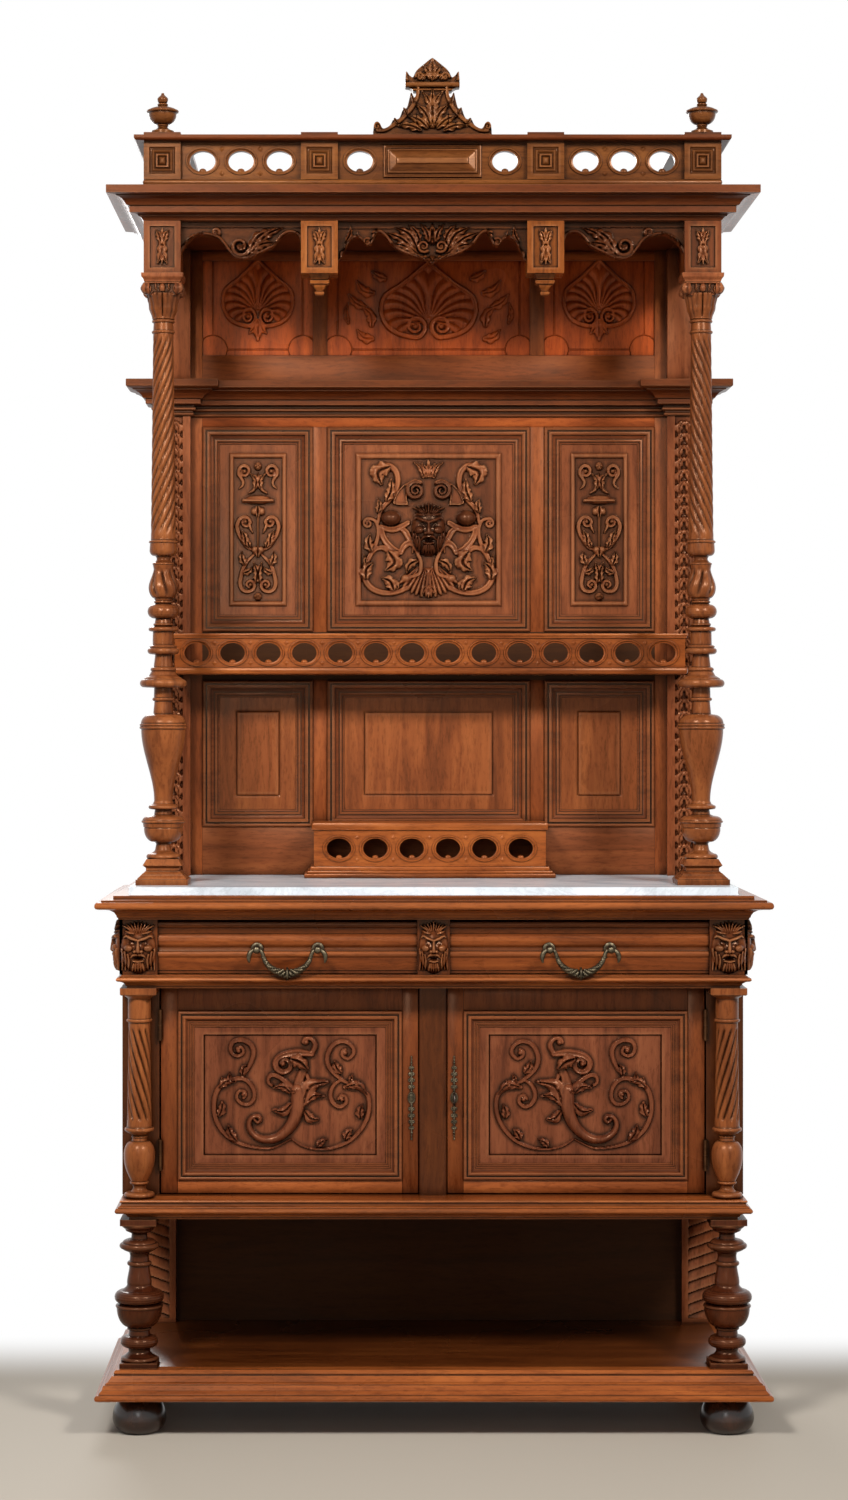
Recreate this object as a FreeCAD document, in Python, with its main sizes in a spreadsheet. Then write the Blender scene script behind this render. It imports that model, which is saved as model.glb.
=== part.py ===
import FreeCAD, Part
import math
import os
import re

import Sketcher

# Two-part walnut sideboard: a base with an open niche, two doors, two drawers and a marble top,
# and an upper part with two turned columns, a panelled back, a cornice and an attic gallery.
# Millimetres. X runs to the right, Y to the back, Z up; the origin is on the floor, mid-plan.

sizes = {
    # Whole piece
    "width": 1296,
    "depth": 560,
    "running_gap": 1.0,
    "fit_gap": 0.3,
    "pin_gap": 0.05,
    "mitre_margin": 5,
    # Levels of the base, from the floor up
    "foot_height": 74,
    "plinth_height": 54,
    "niche_height": 286,
    "floor_height": 38,
    "cupboard_height": 407,
    "drawer_rail_height": 26,
    "drawer_zone": 107,
    "top_bed_height": 41,
    "marble_thickness": 20,
    # Levels of the upper part
    "column_height": 1195,
    "frieze_height": 102,
    "cornice_height": 59,
    "attic_base_height": 22,
    "attic_panel_height": 74,
    "attic_cap_height": 10,
    "cap_block_height": 8,
    "crest_height": 157,
    # Corner posts of the base
    "post_side": 80,
    "post_front": 85,
    "rear_foot_back": 62,
    # Plinth
    "plinth_reach": 70,
    "plinth_fillet": 13,
    "plinth_fillet_step": 5,
    "plinth_cove": 28,
    "plinth_cove_rise": 23,
    "plinth_neck_rise": 6,
    "plinth_round": 9,
    "shelf_thickness": 22,
    "back_rail": 30,
    # Niche
    "niche_pilaster_width": 80,
    "niche_pilaster_depth": 50,
    "panel_thickness": 10,
    "niche_panel_back": 14,
    # Cupboard
    "carcass_side": 44,
    "side_thickness": 24,
    "floor_overhang": 8,
    "floor_setback": 34,
    "floor_reach": 71,
    "floor_bed": 26,
    "floor_bed_rise": 14,
    "floor_nose": 12,
    "floor_fillet_in": 9,
    "floor_thickness": 22,
    "door_setback": 125,
    "stile_width": 72,
    "stile_thickness": 28,
    "centre_post_width": 54,
    "centre_post_thickness": 30,
    "centre_post_proud": 5,
    "centre_post_round": 8,
    "back_setback": 17,
    "back_panel_thickness": 8,
    "side_stile": 55,
    "side_rail": 60,
    "side_panel_thickness": 10,
    "cupboard_shelf_level": 205,
    "cupboard_shelf_thickness": 18,
    "cupboard_shelf_front": 40,
    "cleat_height": 22,
    "cleat_width": 18,
    # Doors
    "hinge_side_gap": 3,
    "door_gap": 1.5,
    "door_thickness": 24,
    "door_clear": 2,
    "door_outer_stile": 50,
    "door_inner_stile": 48,
    "door_bottom_rail": 43,
    "door_top_rail": 65,
    "door_panel_thickness": 12,
    "door_panel_sunk": 6,
    "door_moulding_cover": 17,
    "door_moulding_inside": 15,
    "door_moulding_proud": 10,
    "door_moulding_slope": 6,
    # Hinges
    "hinge_height": 60,
    "hinge_from_end": 45,
    "hinge_axis_proud": 6,
    "hinge_barrel_radius": 4.5,
    "hinge_pin_radius": 2.5,
    "hinge_leaf": 1.4,
    "hinge_leaf_depth": 18,
    # Lock
    "lock_level": 188,
    "lock_from_edge": 13,
    "escutcheon_half_width": 9,
    "escutcheon_half_height": 82,
    "escutcheon_thickness": 2,
    "escutcheon_tip": 6,
    "escutcheon_waist": 4,
    "escutcheon_waist_rise": 52,
    "escutcheon_swell_rise": 30,
    "lock_case_width": 44,
    "lock_case_height": 72,
    "lock_case_depth": 16,
    "lock_edge": 1,
    "bolt_width": 8,
    "bolt_height": 14,
    "bolt_rise": 12,
    "bolt_wall": 4,
    "key_radius": 2.5,
    "keyhole_gap": 0.5,
    "key_bit_length": 8,
    "key_bit_thickness": 2.4,
    "key_bit_depth": 6,
    "key_bow_radius": 11,
    "key_bow_wire": 2.4,
    "key_stem_out": 14,
    "lock_chamber_wall": 3,
    # Drawer level
    "drawer_rail_setback": 37,
    "drawer_rail_overhang": 6,
    "drawer_rail_reach": 70,
    "drawer_rail_bed": 20,
    "drawer_rail_cove_rise": 8,
    "drawer_rail_bed_rise": 6,
    "drawer_rail_nose": 8,
    "drawer_rail_fillet_in": 6,
    "dust_thickness": 20,
    "mask_setback": 54,
    "mask_depth": 76,
    "mask_width": 73,
    "centre_mask_width": 62,
    "divider_thickness": 20,
    "guide_height": 20,
    "runner_width": 20,
    "drawer_setback": 58,
    "drawer_front_thickness": 22,
    "drawer_band": 8,
    "drawer_band_fillet": 12,
    "drawer_band_flat": 30,
    "drawer_bead": 10,
    "drawer_side": 12,
    "drawer_box_depth": 400,
    "drawer_box_drop": 14,
    "drawer_bottom_rise": 6,
    "drawer_bottom_thickness": 6,
    # Drawer handles
    "handle_span": 117,
    "handle_rise": 50,
    "handle_post_radius": 5,
    "handle_post_length": 30,
    "handle_eye_radius": 7,
    "bail_radius": 2.5,
    "bail_sag": 52,
    "bail_shoulder": 12,
    "bail_end": 10,
    "bail_corner": 9,
    # Top
    "top_reach": 100,
    "top_bed_out": 58,
    "top_cove": 30,
    "top_cove_rise": 20,
    "top_lip": 14,
    "top_fillet_in": 34,
    "top_fillet_rise": 46,
    "top_panel_thickness": 20,
    "marble_inset": 61,
    "marble_joint": 25,
    # Upper part, plan
    "column_side": 120,
    "column_setback": 180,
    "wall_thickness": 24,
    "pilaster_width": 69,
    "pilaster_out": 34.5,
    "pilaster_depth": 31,
    "wall_stile_show": 23.5,
    "muntin_outer": 240,
    "muntin_inner": 211,
    # Upper part, levels of the back rails above the marble
    "low_rail_height": 100,
    "low_panel_height": 305,
    "shelf_rail_height": 100,
    "carved_panel_height": 426,
    "cornice_rail_height": 149,
    "top_rail_height": 20,
    "back_panel_sunk": 6,
    "panel_moulding_width": 36,
    "panel_moulding_thickness": 13,
    "panel_moulding_slope": 8,
    # Middle cornice
    "mid_cornice_level": 952,
    "mid_cornice_height": 70,
    "mid_cornice_reach": 60,
    "mid_cornice_fillet": 6,
    "mid_cornice_fillet_rise": 12,
    "mid_cornice_cove": 38,
    "mid_cornice_cove_rise": 36,
    "mid_cornice_fascia": 18,
    # Galleries
    "plate_shelf_level": 415,
    "plate_shelf_thickness": 14,
    "plate_shelf_half": 524,
    "plate_shelf_depth": 148,
    "gallery_rail_height": 59,
    "gallery_thickness": 12,
    "gallery_edge": 5,
    "gallery_cap": 10,
    "gallery_cap_width": 22,
    "gallery_hole_radius": 24,
    "gallery_hole_land": 12,
    "plate_hole_pitch": 73,
    "small_gallery_half": 241,
    "small_gallery_base_half": 256,
    "small_gallery_depth": 140,
    "small_gallery_base": 24,
    "small_gallery_rail": 73,
    "small_gallery_cap": 16,
    "small_hole_pitch": 74,
    # Frieze
    "block_width": 72,
    "block_depth": 72,
    "mid_block_x": 221,
    "pendant_radius": 20,
    "pendant_drop": 40,
    "apron_thickness": 24,
    "apron_cusp": 22,
    "apron_end": 60,
    "apron_middle": 74,
    "side_apron_height": 60,
    "side_apron_thickness": 24,
    # Cornice and canopy
    "cornice_side": 16,
    "cornice_front": 75,
    "cornice_reach": 132,
    "cornice_bed_out": 64,
    "cornice_ovolo": 16,
    "cornice_ovolo_rise": 14,
    "cornice_step": 8,
    "cornice_step_rise": 10,
    "cornice_cyma": 24,
    "cornice_cyma_rise": 18,
    "cornice_fascia": 16,
    "canopy_thickness": 20,
    # Attic
    "attic_block_depth": 40,
    "attic_board": 16,
    "attic_base_lip": 5,
    "attic_hole_radius": 24,
    "attic_hole_pitch": 75,
    "attic_centre_edge": 43,
    "tablet_half": 97,
    "tablet_thickness": 6,
    "tablet_margin": 9,
    "attic_cap_overhang": 18,
    "attic_cap_reach": 104,
    "attic_cap_step": 6,
    "attic_back_gap": 6,
    # Crest
    "crest_half": 116,
    "crest_thickness": 32,
    "crest_base": 14,
    "crest_shoulder": 46,
    "crest_neck_half": 30,
    "crest_neck_level": 92,
    "crest_cap_half": 52,
    "crest_cap": 14,
    "crest_crown_half": 36,
}

# Turned work, from the bottom up: element, height, radius at its top, and the curve that leads there.
# One element of each piece has no height of its own: it takes up what the others leave.
turnings = {
    "foot": [
        ("sole", 0, 30, "line"),
        ("swell", 28, 52, "upright_end"),
        ("shoulder", None, 36, "upright_start"),
        ("collar", 8, 36, "line"),
    ],
    "baluster": [
        ("base", 0, 20, "line"),
        ("base_ring", 17, 20, "round"),
        ("low_neck", 15, 17, "line"),
        ("low_shoulder", 0, 24, "line"),
        ("low_disc", 21, 24, "round"),
        ("stem", 10, 16, "line"),
        ("bowl_foot", 8, 25, "line"),
        ("bowl", 44, 42, "upright_end"),
        ("groove", 6, 40, "line"),
        ("lip", 0, 44, "line"),
        ("bell", 31, 23, "upright_start"),
        ("spool", None, 19, "line"),
        ("ring", 8, 19, "round"),
        ("high_neck", 15, 20, "line"),
        ("high_disc", 23, 24, "line"),
        ("top_neck", 17, 18, "line"),
        ("top_ring", 8, 27, "line"),
    ],
    "twist": [
        ("foot", 0, 24, "line"),
        ("foot_ring", 13, 24, "round"),
        ("foot_neck", 17, 15, "line"),
        ("vase", 57, 29, "upright_end"),
        ("vase_top", 20, 16, "upright_start"),
        ("neck", 15, 16, "line"),
        ("low_ring", 0, 23, "line"),
        ("ring", 10, 23, "round"),
        ("shaft", None, 23, "line"),
        ("cap_neck", 36, 21, "line"),
        ("cap_ring", 9, 26, "line"),
    ],
    "column": [
        ("foot", 0, 20, "line"),
        ("foot_ring", 12, 20, "round"),
        ("foot_neck", 23, 16, "line"),
        ("bowl_base", 0, 20, "line"),
        ("bowl", 51, 42, "upright_end"),
        ("bowl_top", 0, 15, "line"),
        ("bowl_neck", 11, 15, "line"),
        ("low_ring_step", 0, 21, "line"),
        ("low_ring", 12, 21, "round"),
        ("vase_base", 0, 18, "line"),
        ("vase", 155, 45, "upright_end"),
        ("vase_top", 20, 18, "upright_start"),
        ("vase_neck", 53, 18, "line"),
        ("disc_step", 0, 39, "line"),
        ("disc", 16, 39, "round"),
        ("disc_collar", 20, 22, "line"),
        ("waist", 23, 17, "line"),
        ("drop_step", 0, 22, "line"),
        ("drop_ring", 16, 22, "round"),
        ("spool", 35, 20, "line"),
        ("thin_step", 0, 24, "line"),
        ("thin_disc", 8, 24, "round"),
        ("thin_neck", 18, 20, "line"),
        ("torus_step", 0, 15, "line"),
        ("torus", 29, 15, "round"),
        ("bulb_neck", 12, 14, "line"),
        ("bulb_base", 0, 29, "line"),
        ("bulb", 74, 21, "upright_start"),
        ("bulb_top", 16, 15, "line"),
        ("bell", 22, 28, "upright_end"),
        ("shaft_base", 0, 24, "line"),
        ("shaft", None, 20, "line"),
        ("astragal", 29, 21, "line"),
        ("leaf_bell", 51, 38, "upright_start"),
    ],
    "finial": [
        ("base", 8, 20, "line"),
        ("stem", 8, 8, "upright_end"),
        ("bowl", None, 28, "upright_end"),
        ("rim", 6, 29, "line"),
        ("lid", 12, 9, "upright_end"),
        ("knop_neck", 4, 7, "line"),
        ("knop", 9, 10, "upright_end"),
        ("tip", 9, 2, "upright_start"),
    ],
}

# Square blocks that end the turned posts: half width and height
blocks = {
    "baluster_foot": (36, 10),
    "baluster_head": (35, 17),
    "twist_foot": (33, 10),
    "twist_head": (35, 10),
    "pedestal_base": (49, 22),
    "pedestal_notch": (31, 12),
    "pedestal_cap": (37, 16),
    "volute": (42, 25),
    "abacus": (41, 16),
}
finial_height = 80

sizes["finial_height"] = finial_height
for turning, elements in turnings.items():
    for element, height, radius, curve in elements:
        if height:
            sizes[f"{turning}_{element}_height"] = height
        sizes[f"{turning}_{element}_radius"] = radius
for block, (block_half, block_height) in blocks.items():
    sizes[f"{block}_half"] = block_half
    sizes[f"{block}_height"] = block_height

# Places worked out from the sizes
places = {
    "half": "width / 2",
    "front": "-depth / 2",
    "back": "depth / 2",
    "shelf_top": "foot_height + plinth_height",
    "niche_top": "shelf_top + niche_height",
    "floor_top": "niche_top + floor_height",
    "cupboard_top": "floor_top + cupboard_height",
    "drawer_level": "cupboard_top + drawer_rail_height",
    "drawer_top": "drawer_level + drawer_zone",
    "marble_bed": "drawer_top + top_bed_height",
    "marble_top": "marble_bed + marble_thickness",
    "frieze_level": "marble_top + column_height",
    "cornice_level": "frieze_level + frieze_height",
    "attic_level": "cornice_level + cornice_height",
    "attic_base_top": "attic_level + attic_base_height",
    "attic_cap_level": "attic_base_top + attic_panel_height",
    "attic_top": "attic_cap_level + attic_cap_height",
    "post_x": "half - post_side",
    "post_y": "front + post_front",
    "plinth_in": "half - plinth_reach",
    "plinth_in_y": "front + plinth_reach",
    "niche_in": "carcass_half - niche_pilaster_width",
    "niche_panel_y": "back - niche_panel_back - panel_thickness",
    "carcass_half": "half - carcass_side",
    "floor_half": "carcass_half + floor_overhang",
    "floor_front": "front + floor_setback",
    "floor_in": "floor_half - floor_reach",
    "floor_in_y": "floor_front + floor_reach",
    "door_face": "front + door_setback",
    "door_back": "door_face + door_thickness",
    "stile_in": "carcass_half - stile_width",
    "post_half": "centre_post_width / 2",
    "side_in": "carcass_half - side_thickness",
    "back_y": "back - back_setback - back_panel_thickness",
    "shelf_level": "floor_top + cupboard_shelf_level",
    "door_outer": "stile_in - hinge_side_gap",
    "door_inner": "post_half + door_gap",
    "door_low": "floor_top + door_clear",
    "door_high": "cupboard_top - door_clear",
    "opening_outer": "door_outer - door_outer_stile",
    "opening_inner": "door_inner + door_inner_stile",
    "opening_low": "door_low + door_bottom_rail",
    "opening_high": "door_high - door_top_rail",
    "opening_x": "(opening_outer + opening_inner) / 2",
    "opening_z": "(opening_low + opening_high) / 2",
    "opening_wide": "opening_outer - opening_inner",
    "opening_tall": "opening_high - opening_low",
    "hinge_x": "stile_in - hinge_side_gap / 2",
    "hinge_y": "door_face - hinge_axis_proud",
    "lock_x": "door_inner + lock_from_edge",
    "lock_z": "floor_top + lock_level",
    "case_in": "door_inner + lock_edge",
    "case_out": "case_in + lock_case_width",
    "case_back": "door_back + lock_case_depth",
    "bolt_low": "lock_z + bolt_rise",
    "bolt_high": "bolt_low + bolt_height",
    "bolt_front": "door_back + bolt_wall",
    "bolt_back": "bolt_front + bolt_width",
    "rail_half": "carcass_half + drawer_rail_overhang",
    "rail_front": "front + drawer_rail_setback",
    "rail_in": "rail_half - drawer_rail_reach",
    "rail_in_y": "rail_front + drawer_rail_reach",
    "runner_level": "cupboard_top + dust_thickness",
    "mask_face": "front + mask_setback",
    "mask_back": "mask_face + mask_depth",
    "mask_in": "carcass_half - mask_width",
    "centre_mask_half": "centre_mask_width / 2",
    "drawer_outer": "mask_in - running_gap",
    "drawer_inner": "centre_mask_half + running_gap",
    "drawer_x": "(drawer_outer + drawer_inner) / 2",
    "drawer_face": "front + drawer_setback",
    "drawer_low": "drawer_level + running_gap",
    "drawer_high": "drawer_top - running_gap",
    "drawer_box_front": "drawer_face + drawer_front_thickness",
    "drawer_box_back": "drawer_box_front + drawer_box_depth",
    "drawer_box_top": "drawer_high - drawer_box_drop",
    "handle_z": "drawer_level + handle_rise",
    "handle_y": "drawer_face - handle_post_length",
    "top_in": "half - top_reach",
    "top_in_y": "front + top_reach",
    "marble_half": "half - marble_inset",
    "marble_front": "front + marble_inset",
    "column_x": "half - column_side",
    "column_y": "front + column_setback",
    "wall_face": "back - wall_thickness",
    "pilaster_in": "column_x - pilaster_out",
    "pilaster_outer": "pilaster_in + pilaster_width",
    "wall_stile_inner": "pilaster_in - wall_stile_show",
    "pilaster_face": "wall_face - pilaster_depth",
    "low_rail_top": "marble_top + low_rail_height",
    "low_panel_top": "low_rail_top + low_panel_height",
    "shelf_rail_top": "low_panel_top + shelf_rail_height",
    "carved_panel_top": "shelf_rail_top + carved_panel_height",
    "cornice_rail_top": "carved_panel_top + cornice_rail_height",
    "shell_panel_top": "cornice_level - top_rail_height",
    "mid_cornice_low": "marble_top + mid_cornice_level",
    "mid_cornice_high": "mid_cornice_low + mid_cornice_height",
    "plate_level": "marble_top + plate_shelf_level",
    "plate_top": "plate_level + plate_shelf_thickness",
    "plate_cap_level": "plate_top + gallery_rail_height",
    "plate_front": "wall_face - plate_shelf_depth",
    "small_front": "wall_face - small_gallery_depth",
    "small_base_top": "marble_top + small_gallery_base",
    "small_cap_level": "small_base_top + small_gallery_rail",
    "block_face": "column_y - block_depth / 2",
    "block_back": "column_y + block_depth / 2",
    "block_half": "block_width / 2",
    "cornice_half": "half - cornice_side",
    "cornice_face": "front + cornice_front",
    "cornice_in": "cornice_half - cornice_reach",
    "cornice_in_y": "cornice_face + cornice_reach",
    "attic_back": "block_face + attic_block_depth",
    "attic_board_face": "block_face + (attic_block_depth - attic_board) / 2",
    "attic_y": "block_face + attic_block_depth / 2",
    "attic_rear": "back - attic_back_gap",
    "attic_cap_half": "column_x + block_half + attic_cap_overhang",
    "attic_cap_face": "block_face - attic_cap_overhang",
}

doc = FreeCAD.newDocument("sideboard")
sheet = doc.addObject("Spreadsheet::Sheet", "Sizes")
for row, (alias, amount) in enumerate(sizes.items(), 1):
    sheet.set(f"A{row}", alias)
    sheet.set(f"B{row}", str(amount))
    sheet.setAlias(f"B{row}", alias)
doc.recompute()

word = re.compile(r"[a-z][a-z0-9_]*")
subparts = []


def formula(text):
    # Spells out a size or place in terms of the sheet's cells
    def spell(match):
        name = match.group(0)
        if name in places:
            return "(" + formula(places[name]) + ")"
        return "Sizes." + name
    return word.sub(spell, str(text))


def number(text):
    return float(sheet.evalExpression(formula(text)))


def bind(piece, **settings):
    for setting, text in settings.items():
        piece.setExpression(setting, formula(text))


def place(piece, x, y, z):
    for axis, text in zip("xyz", (x, y, z)):
        piece.setExpression(f"Placement.Base.{axis}", formula(text))


def turn_about(piece, axis, degrees):
    piece.Placement = FreeCAD.Placement(FreeCAD.Vector(), FreeCAD.Rotation(axis, degrees))


def subpart(label, pieces):
    # One named sub-part: a single piece, or a group of separate solids
    if len(pieces) == 1:
        whole = pieces[0]
    else:
        whole = doc.addObject("Part::Compound", label)
        whole.Links = pieces
    whole.Label = label
    subparts.append(whole)


def box(x, y, z):
    # A board from its lowest to its highest x, y and z
    board = doc.addObject("Part::Box", "board")
    bind(board, Length=f"({x[1]}) - ({x[0]})", Width=f"({y[1]}) - ({y[0]})", Height=f"({z[1]}) - ({z[0]})")
    place(board, x[0], y[0], z[0])
    return board


def rod(radius, length, at, axis=FreeCAD.Vector(0, 0, 1)):
    # A round bar from a point along an axis
    bar = doc.addObject("Part::Cylinder", "bar")
    bind(bar, Radius=radius, Height=length)
    bar.Placement = FreeCAD.Placement(FreeCAD.Vector(), FreeCAD.Rotation(FreeCAD.Vector(0, 0, 1), axis))
    place(bar, *at)
    return bar


def fuse(*pieces):
    whole = doc.addObject("Part::MultiFuse", "joined")
    whole.Shapes = list(pieces)
    return whole


def cut(base, *tools):
    for tool in tools:
        result = doc.addObject("Part::Cut", "cut")
        result.Base = base
        result.Tool = tool
        base = result
    return base


def flank(side, inner, outer):
    # The span between two distances from the middle, on one side
    if side == "left":
        return f"-({outer})", f"-({inner})"
    return inner, outer


def across(side, distance):
    return f"-({distance})" if side == "left" else distance


def new_sketch(body, role):
    plane = next(item for item in body.Origin.OriginFeatures if item.Role == role)
    sketch = body.newObject("Sketcher::SketchObject", "sketch")
    sketch.AttachmentSupport = [(plane, "")]
    sketch.MapMode = "FlatFace"
    return sketch


def arc_centre(start, end, curve):
    run = end.x - start.x
    rise = end.y - start.y
    square = (run * run + rise * rise) / 2
    if curve == "round":
        return FreeCAD.Vector(start.x, (start.y + end.y) / 2, 0)
    if curve == "upright_start":
        return FreeCAD.Vector(start.x + square / run, start.y, 0)
    if curve == "upright_end":
        return FreeCAD.Vector(end.x - square / run, end.y, 0)
    if curve == "level_start":
        return FreeCAD.Vector(start.x, start.y + square / rise, 0)
    return FreeCAD.Vector(end.x, end.y - square / rise, 0)


def arc_edge(start, end, curve):
    # The arc, and its vertex numbers at start and end: an arc always runs anticlockwise
    centre = arc_centre(start, end, curve)
    first = start - centre
    last = end - centre
    circle = Part.Circle(centre, FreeCAD.Vector(0, 0, 1), first.Length)
    angles = [math.atan2(ray.y, ray.x) for ray in (first, last)]
    anticlockwise = curve == "round" or first.cross(last).z > 0
    if anticlockwise:
        return Part.ArcOfCircle(circle, angles[0], angles[1]), 1, 2
    return Part.ArcOfCircle(circle, angles[1], angles[0]), 2, 1


def draw(sketch, steps):
    # A closed outline of lines and arcs; each step is x, y and, for an arc, the curve that leads there
    spots = [FreeCAD.Vector(number(step[0]), number(step[1]), 0) for step in steps]
    first = sketch.GeometryCount
    ends = []
    rules = []
    for index, step in enumerate(steps):
        start = spots[index - 1]
        end = spots[index]
        edge = first + index
        if len(step) == 3 and step[2] != "line":
            arc, start_vertex, end_vertex = arc_edge(start, end, step[2])
            sketch.addGeometry(arc)
            ends.append((start_vertex, end_vertex))
            before = steps[index - 1]
            held = before if step[2] in ("round", "upright_start", "level_start") else step
            if step[2].startswith("upright"):
                rules.append(("DistanceY", edge, 3, held[1]))
            else:
                rules.append(("DistanceX", edge, 3, held[0]))
        else:
            sketch.addGeometry(Part.LineSegment(start, end))
            ends.append((1, 2))
        rules.append(("DistanceX", edge, ends[-1][1], step[0]))
        rules.append(("DistanceY", edge, ends[-1][1], step[1]))
    constraints = []
    for index in range(len(steps)):
        after = (index + 1) % len(steps)
        constraints.append(
            Sketcher.Constraint("Coincident", first + index, ends[index][1], first + after, ends[after][0]))
    sketch.addConstraint(constraints)
    for kind, edge, vertex, text in rules:
        held = sketch.addConstraint(Sketcher.Constraint(kind, -1, 1, edge, vertex, number(text)))
        sketch.setExpression(f"Constraints[{held}]", formula(text))


def draw_circle(sketch, x, y, radius):
    centre = FreeCAD.Vector(number(x), number(y), 0)
    ring = sketch.addGeometry(Part.Circle(centre, FreeCAD.Vector(0, 0, 1), number(radius)))
    rules = (
        (Sketcher.Constraint("DistanceX", -1, 1, ring, 3, centre.x), x),
        (Sketcher.Constraint("DistanceY", -1, 1, ring, 3, centre.y), y),
        (Sketcher.Constraint("Radius", ring, number(radius)), radius),
    )
    for constraint, text in rules:
        held = sketch.addConstraint(constraint)
        sketch.setExpression(f"Constraints[{held}]", formula(text))


def draw_rectangle(sketch, x, y):
    draw(sketch, [(x[0], y[0]), (x[1], y[0]), (x[1], y[1]), (x[0], y[1])])


def pad(body, sketch, length, reversed_side=False, symmetric=False):
    solid = body.newObject("PartDesign::Pad", "pad")
    solid.Profile = sketch
    solid.Reversed = reversed_side
    if symmetric:
        solid.SideType = "Symmetric"
    bind(solid, Length=length)
    return solid


def new_body():
    return doc.addObject("PartDesign::Body", "body")


def moulding(steps, reach, length, ends, degrees, at):
    # A run of moulding: x outwards, y along the run, z up; its ends are square, outside or inside mitres
    body = new_body()
    lead = reach if ends[0] == "outside" else "0"
    tail = reach if ends[1] == "outside" else "0"
    profile = new_sketch(body, "XZ_Plane")
    draw(profile, steps)
    profile.setExpression("AttachmentOffset.Base.z", formula(lead))
    pad(body, profile, f"({length}) + ({lead}) + ({tail})", reversed_side=True)
    far = f"({reach}) + mitre_margin"
    corners = {
        ("start", "outside"): [("-mitre_margin", "mitre_margin"), ("-mitre_margin", f"-({far})"),
                               (far, f"-({far})")],
        ("start", "inside"): [("-mitre_margin", "-mitre_margin"), (far, "-mitre_margin"), (far, far)],
        ("end", "outside"): [("-mitre_margin", f"({length}) - mitre_margin"), (far, f"({length}) + {far}"),
                             ("-mitre_margin", f"({length}) + {far}")],
        ("end", "inside"): [("-mitre_margin", f"({length}) + mitre_margin"), (far, f"({length}) - ({far})"),
                            (far, f"({length}) + mitre_margin")],
    }
    mitres = [corners[where] for where in zip(("start", "end"), ends) if where in corners]
    if mitres:
        plan = new_sketch(body, "XY_Plane")
        for corner in mitres:
            draw(plan, corner)
        waste = body.newObject("PartDesign::Pocket", "mitre")
        waste.Profile = plan
        waste.Type = "ThroughAll"
        waste.SideType = "Symmetric"
    turn_about(body, FreeCAD.Vector(0, 0, 1), degrees)
    place(body, *at)
    return body


def moulded_frame(steps, reach, half_out, face, rear, level):
    # Front, left and right runs, mitred at the front corners
    inner = f"(({half_out}) - ({reach}))"
    inner_y = f"(({face}) + ({reach}))"
    side_run = f"({rear}) - {inner_y}"
    return [
        moulding(steps, reach, f"2 * {inner}", ("outside", "outside"), -90, (f"-{inner}", inner_y, level)),
        moulding(steps, reach, side_run, ("square", "outside"), 180, (f"-{inner}", rear, level)),
        moulding(steps, reach, side_run, ("outside", "square"), 0, (inner, inner_y, level)),
    ]


def turned_steps(turning, total):
    known = [f"{turning}_{row[0]}_height" for row in turnings[turning] if row[1]]
    spare = f"(({total}) - (" + " + ".join(known) + "))"
    steps = [("0", "0")]
    level = "0"
    for element, height, radius, curve in turnings[turning]:
        if height is None:
            level = f"{level} + {spare}"
        elif height:
            level = f"{level} + {turning}_{element}_height"
        steps.append((f"{turning}_{element}_radius", level, curve))
    steps.append(("0", level))
    return steps


def turned(turning, total, at, low_blocks=(), high_blocks=()):
    # A turned post with square blocks below and above its round part
    body = new_body()
    low = " + ".join([f"{block}_height" for block in low_blocks]) or "0"
    high = " + ".join([f"{block}_height" for block in high_blocks]) or "0"
    round_height = f"(({total}) - ({low}) - ({high}))"
    profile = new_sketch(body, "XZ_Plane")
    draw(profile, turned_steps(turning, round_height))
    profile.setExpression("AttachmentOffset.Base.y", formula(low))
    spin = body.newObject("PartDesign::Revolution", "turning")
    spin.Profile = profile
    spin.ReferenceAxis = (profile, ["V_Axis"])
    spin.Angle = 360
    level = "0"
    for block in low_blocks:
        square_block(body, block, level)
        level = f"{level} + {block}_height"
    level = f"{low} + {round_height}"
    for block in high_blocks:
        square_block(body, block, level)
        level = f"{level} + {block}_height"
    place(body, *at)
    return body


def square_block(body, block, level):
    plan = new_sketch(body, "XY_Plane")
    span = (f"-{block}_half", f"{block}_half")
    draw_rectangle(plan, span, span)
    plan.setExpression("AttachmentOffset.Base.z", formula(level))
    pad(body, plan, f"{block}_height")


def fretted_board(x, z, thickness, holes, at_y):
    # An upright board pierced by round holes, centred on a y
    body = new_body()
    face = new_sketch(body, "XZ_Plane")
    draw_rectangle(face, x, z)
    for hole in holes:
        draw_circle(face, *hole)
    pad(body, face, thickness, symmetric=True)
    place(body, "0", at_y, "0")
    return body


def picture_frame(outer, inner, thickness, slope, at, rebate=None, rebate_depth=None):
    # A moulding frame seen from the front, sloped on its front edges, with a rebate behind
    body = new_body()
    face = new_sketch(body, "XZ_Plane")
    for wide, tall in (outer, inner):
        draw_rectangle(face, (f"-({wide}) / 2", f"({wide}) / 2"), (f"-({tall}) / 2", f"({tall}) / 2"))
    front = pad(body, face, thickness)
    doc.recompute()
    level = min(corner.Point.y for corner in front.Shape.Vertexes)
    edges = [
        f"Edge{index}" for index, edge in enumerate(front.Shape.Edges, 1)
        if all(abs(corner.Point.y - level) < 0.001 for corner in edge.Vertexes)
    ]
    sloped = body.newObject("PartDesign::Chamfer", "slope")
    sloped.Base = (front, edges)
    bind(sloped, Size=slope)
    if rebate:
        behind = new_sketch(body, "XZ_Plane")
        for wide, tall in (rebate, inner):
            draw_rectangle(behind, (f"-({wide}) / 2", f"({wide}) / 2"), (f"-({tall}) / 2", f"({tall}) / 2"))
        pad(body, behind, rebate_depth, reversed_side=True)
    place(body, *at)
    return body


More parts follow.
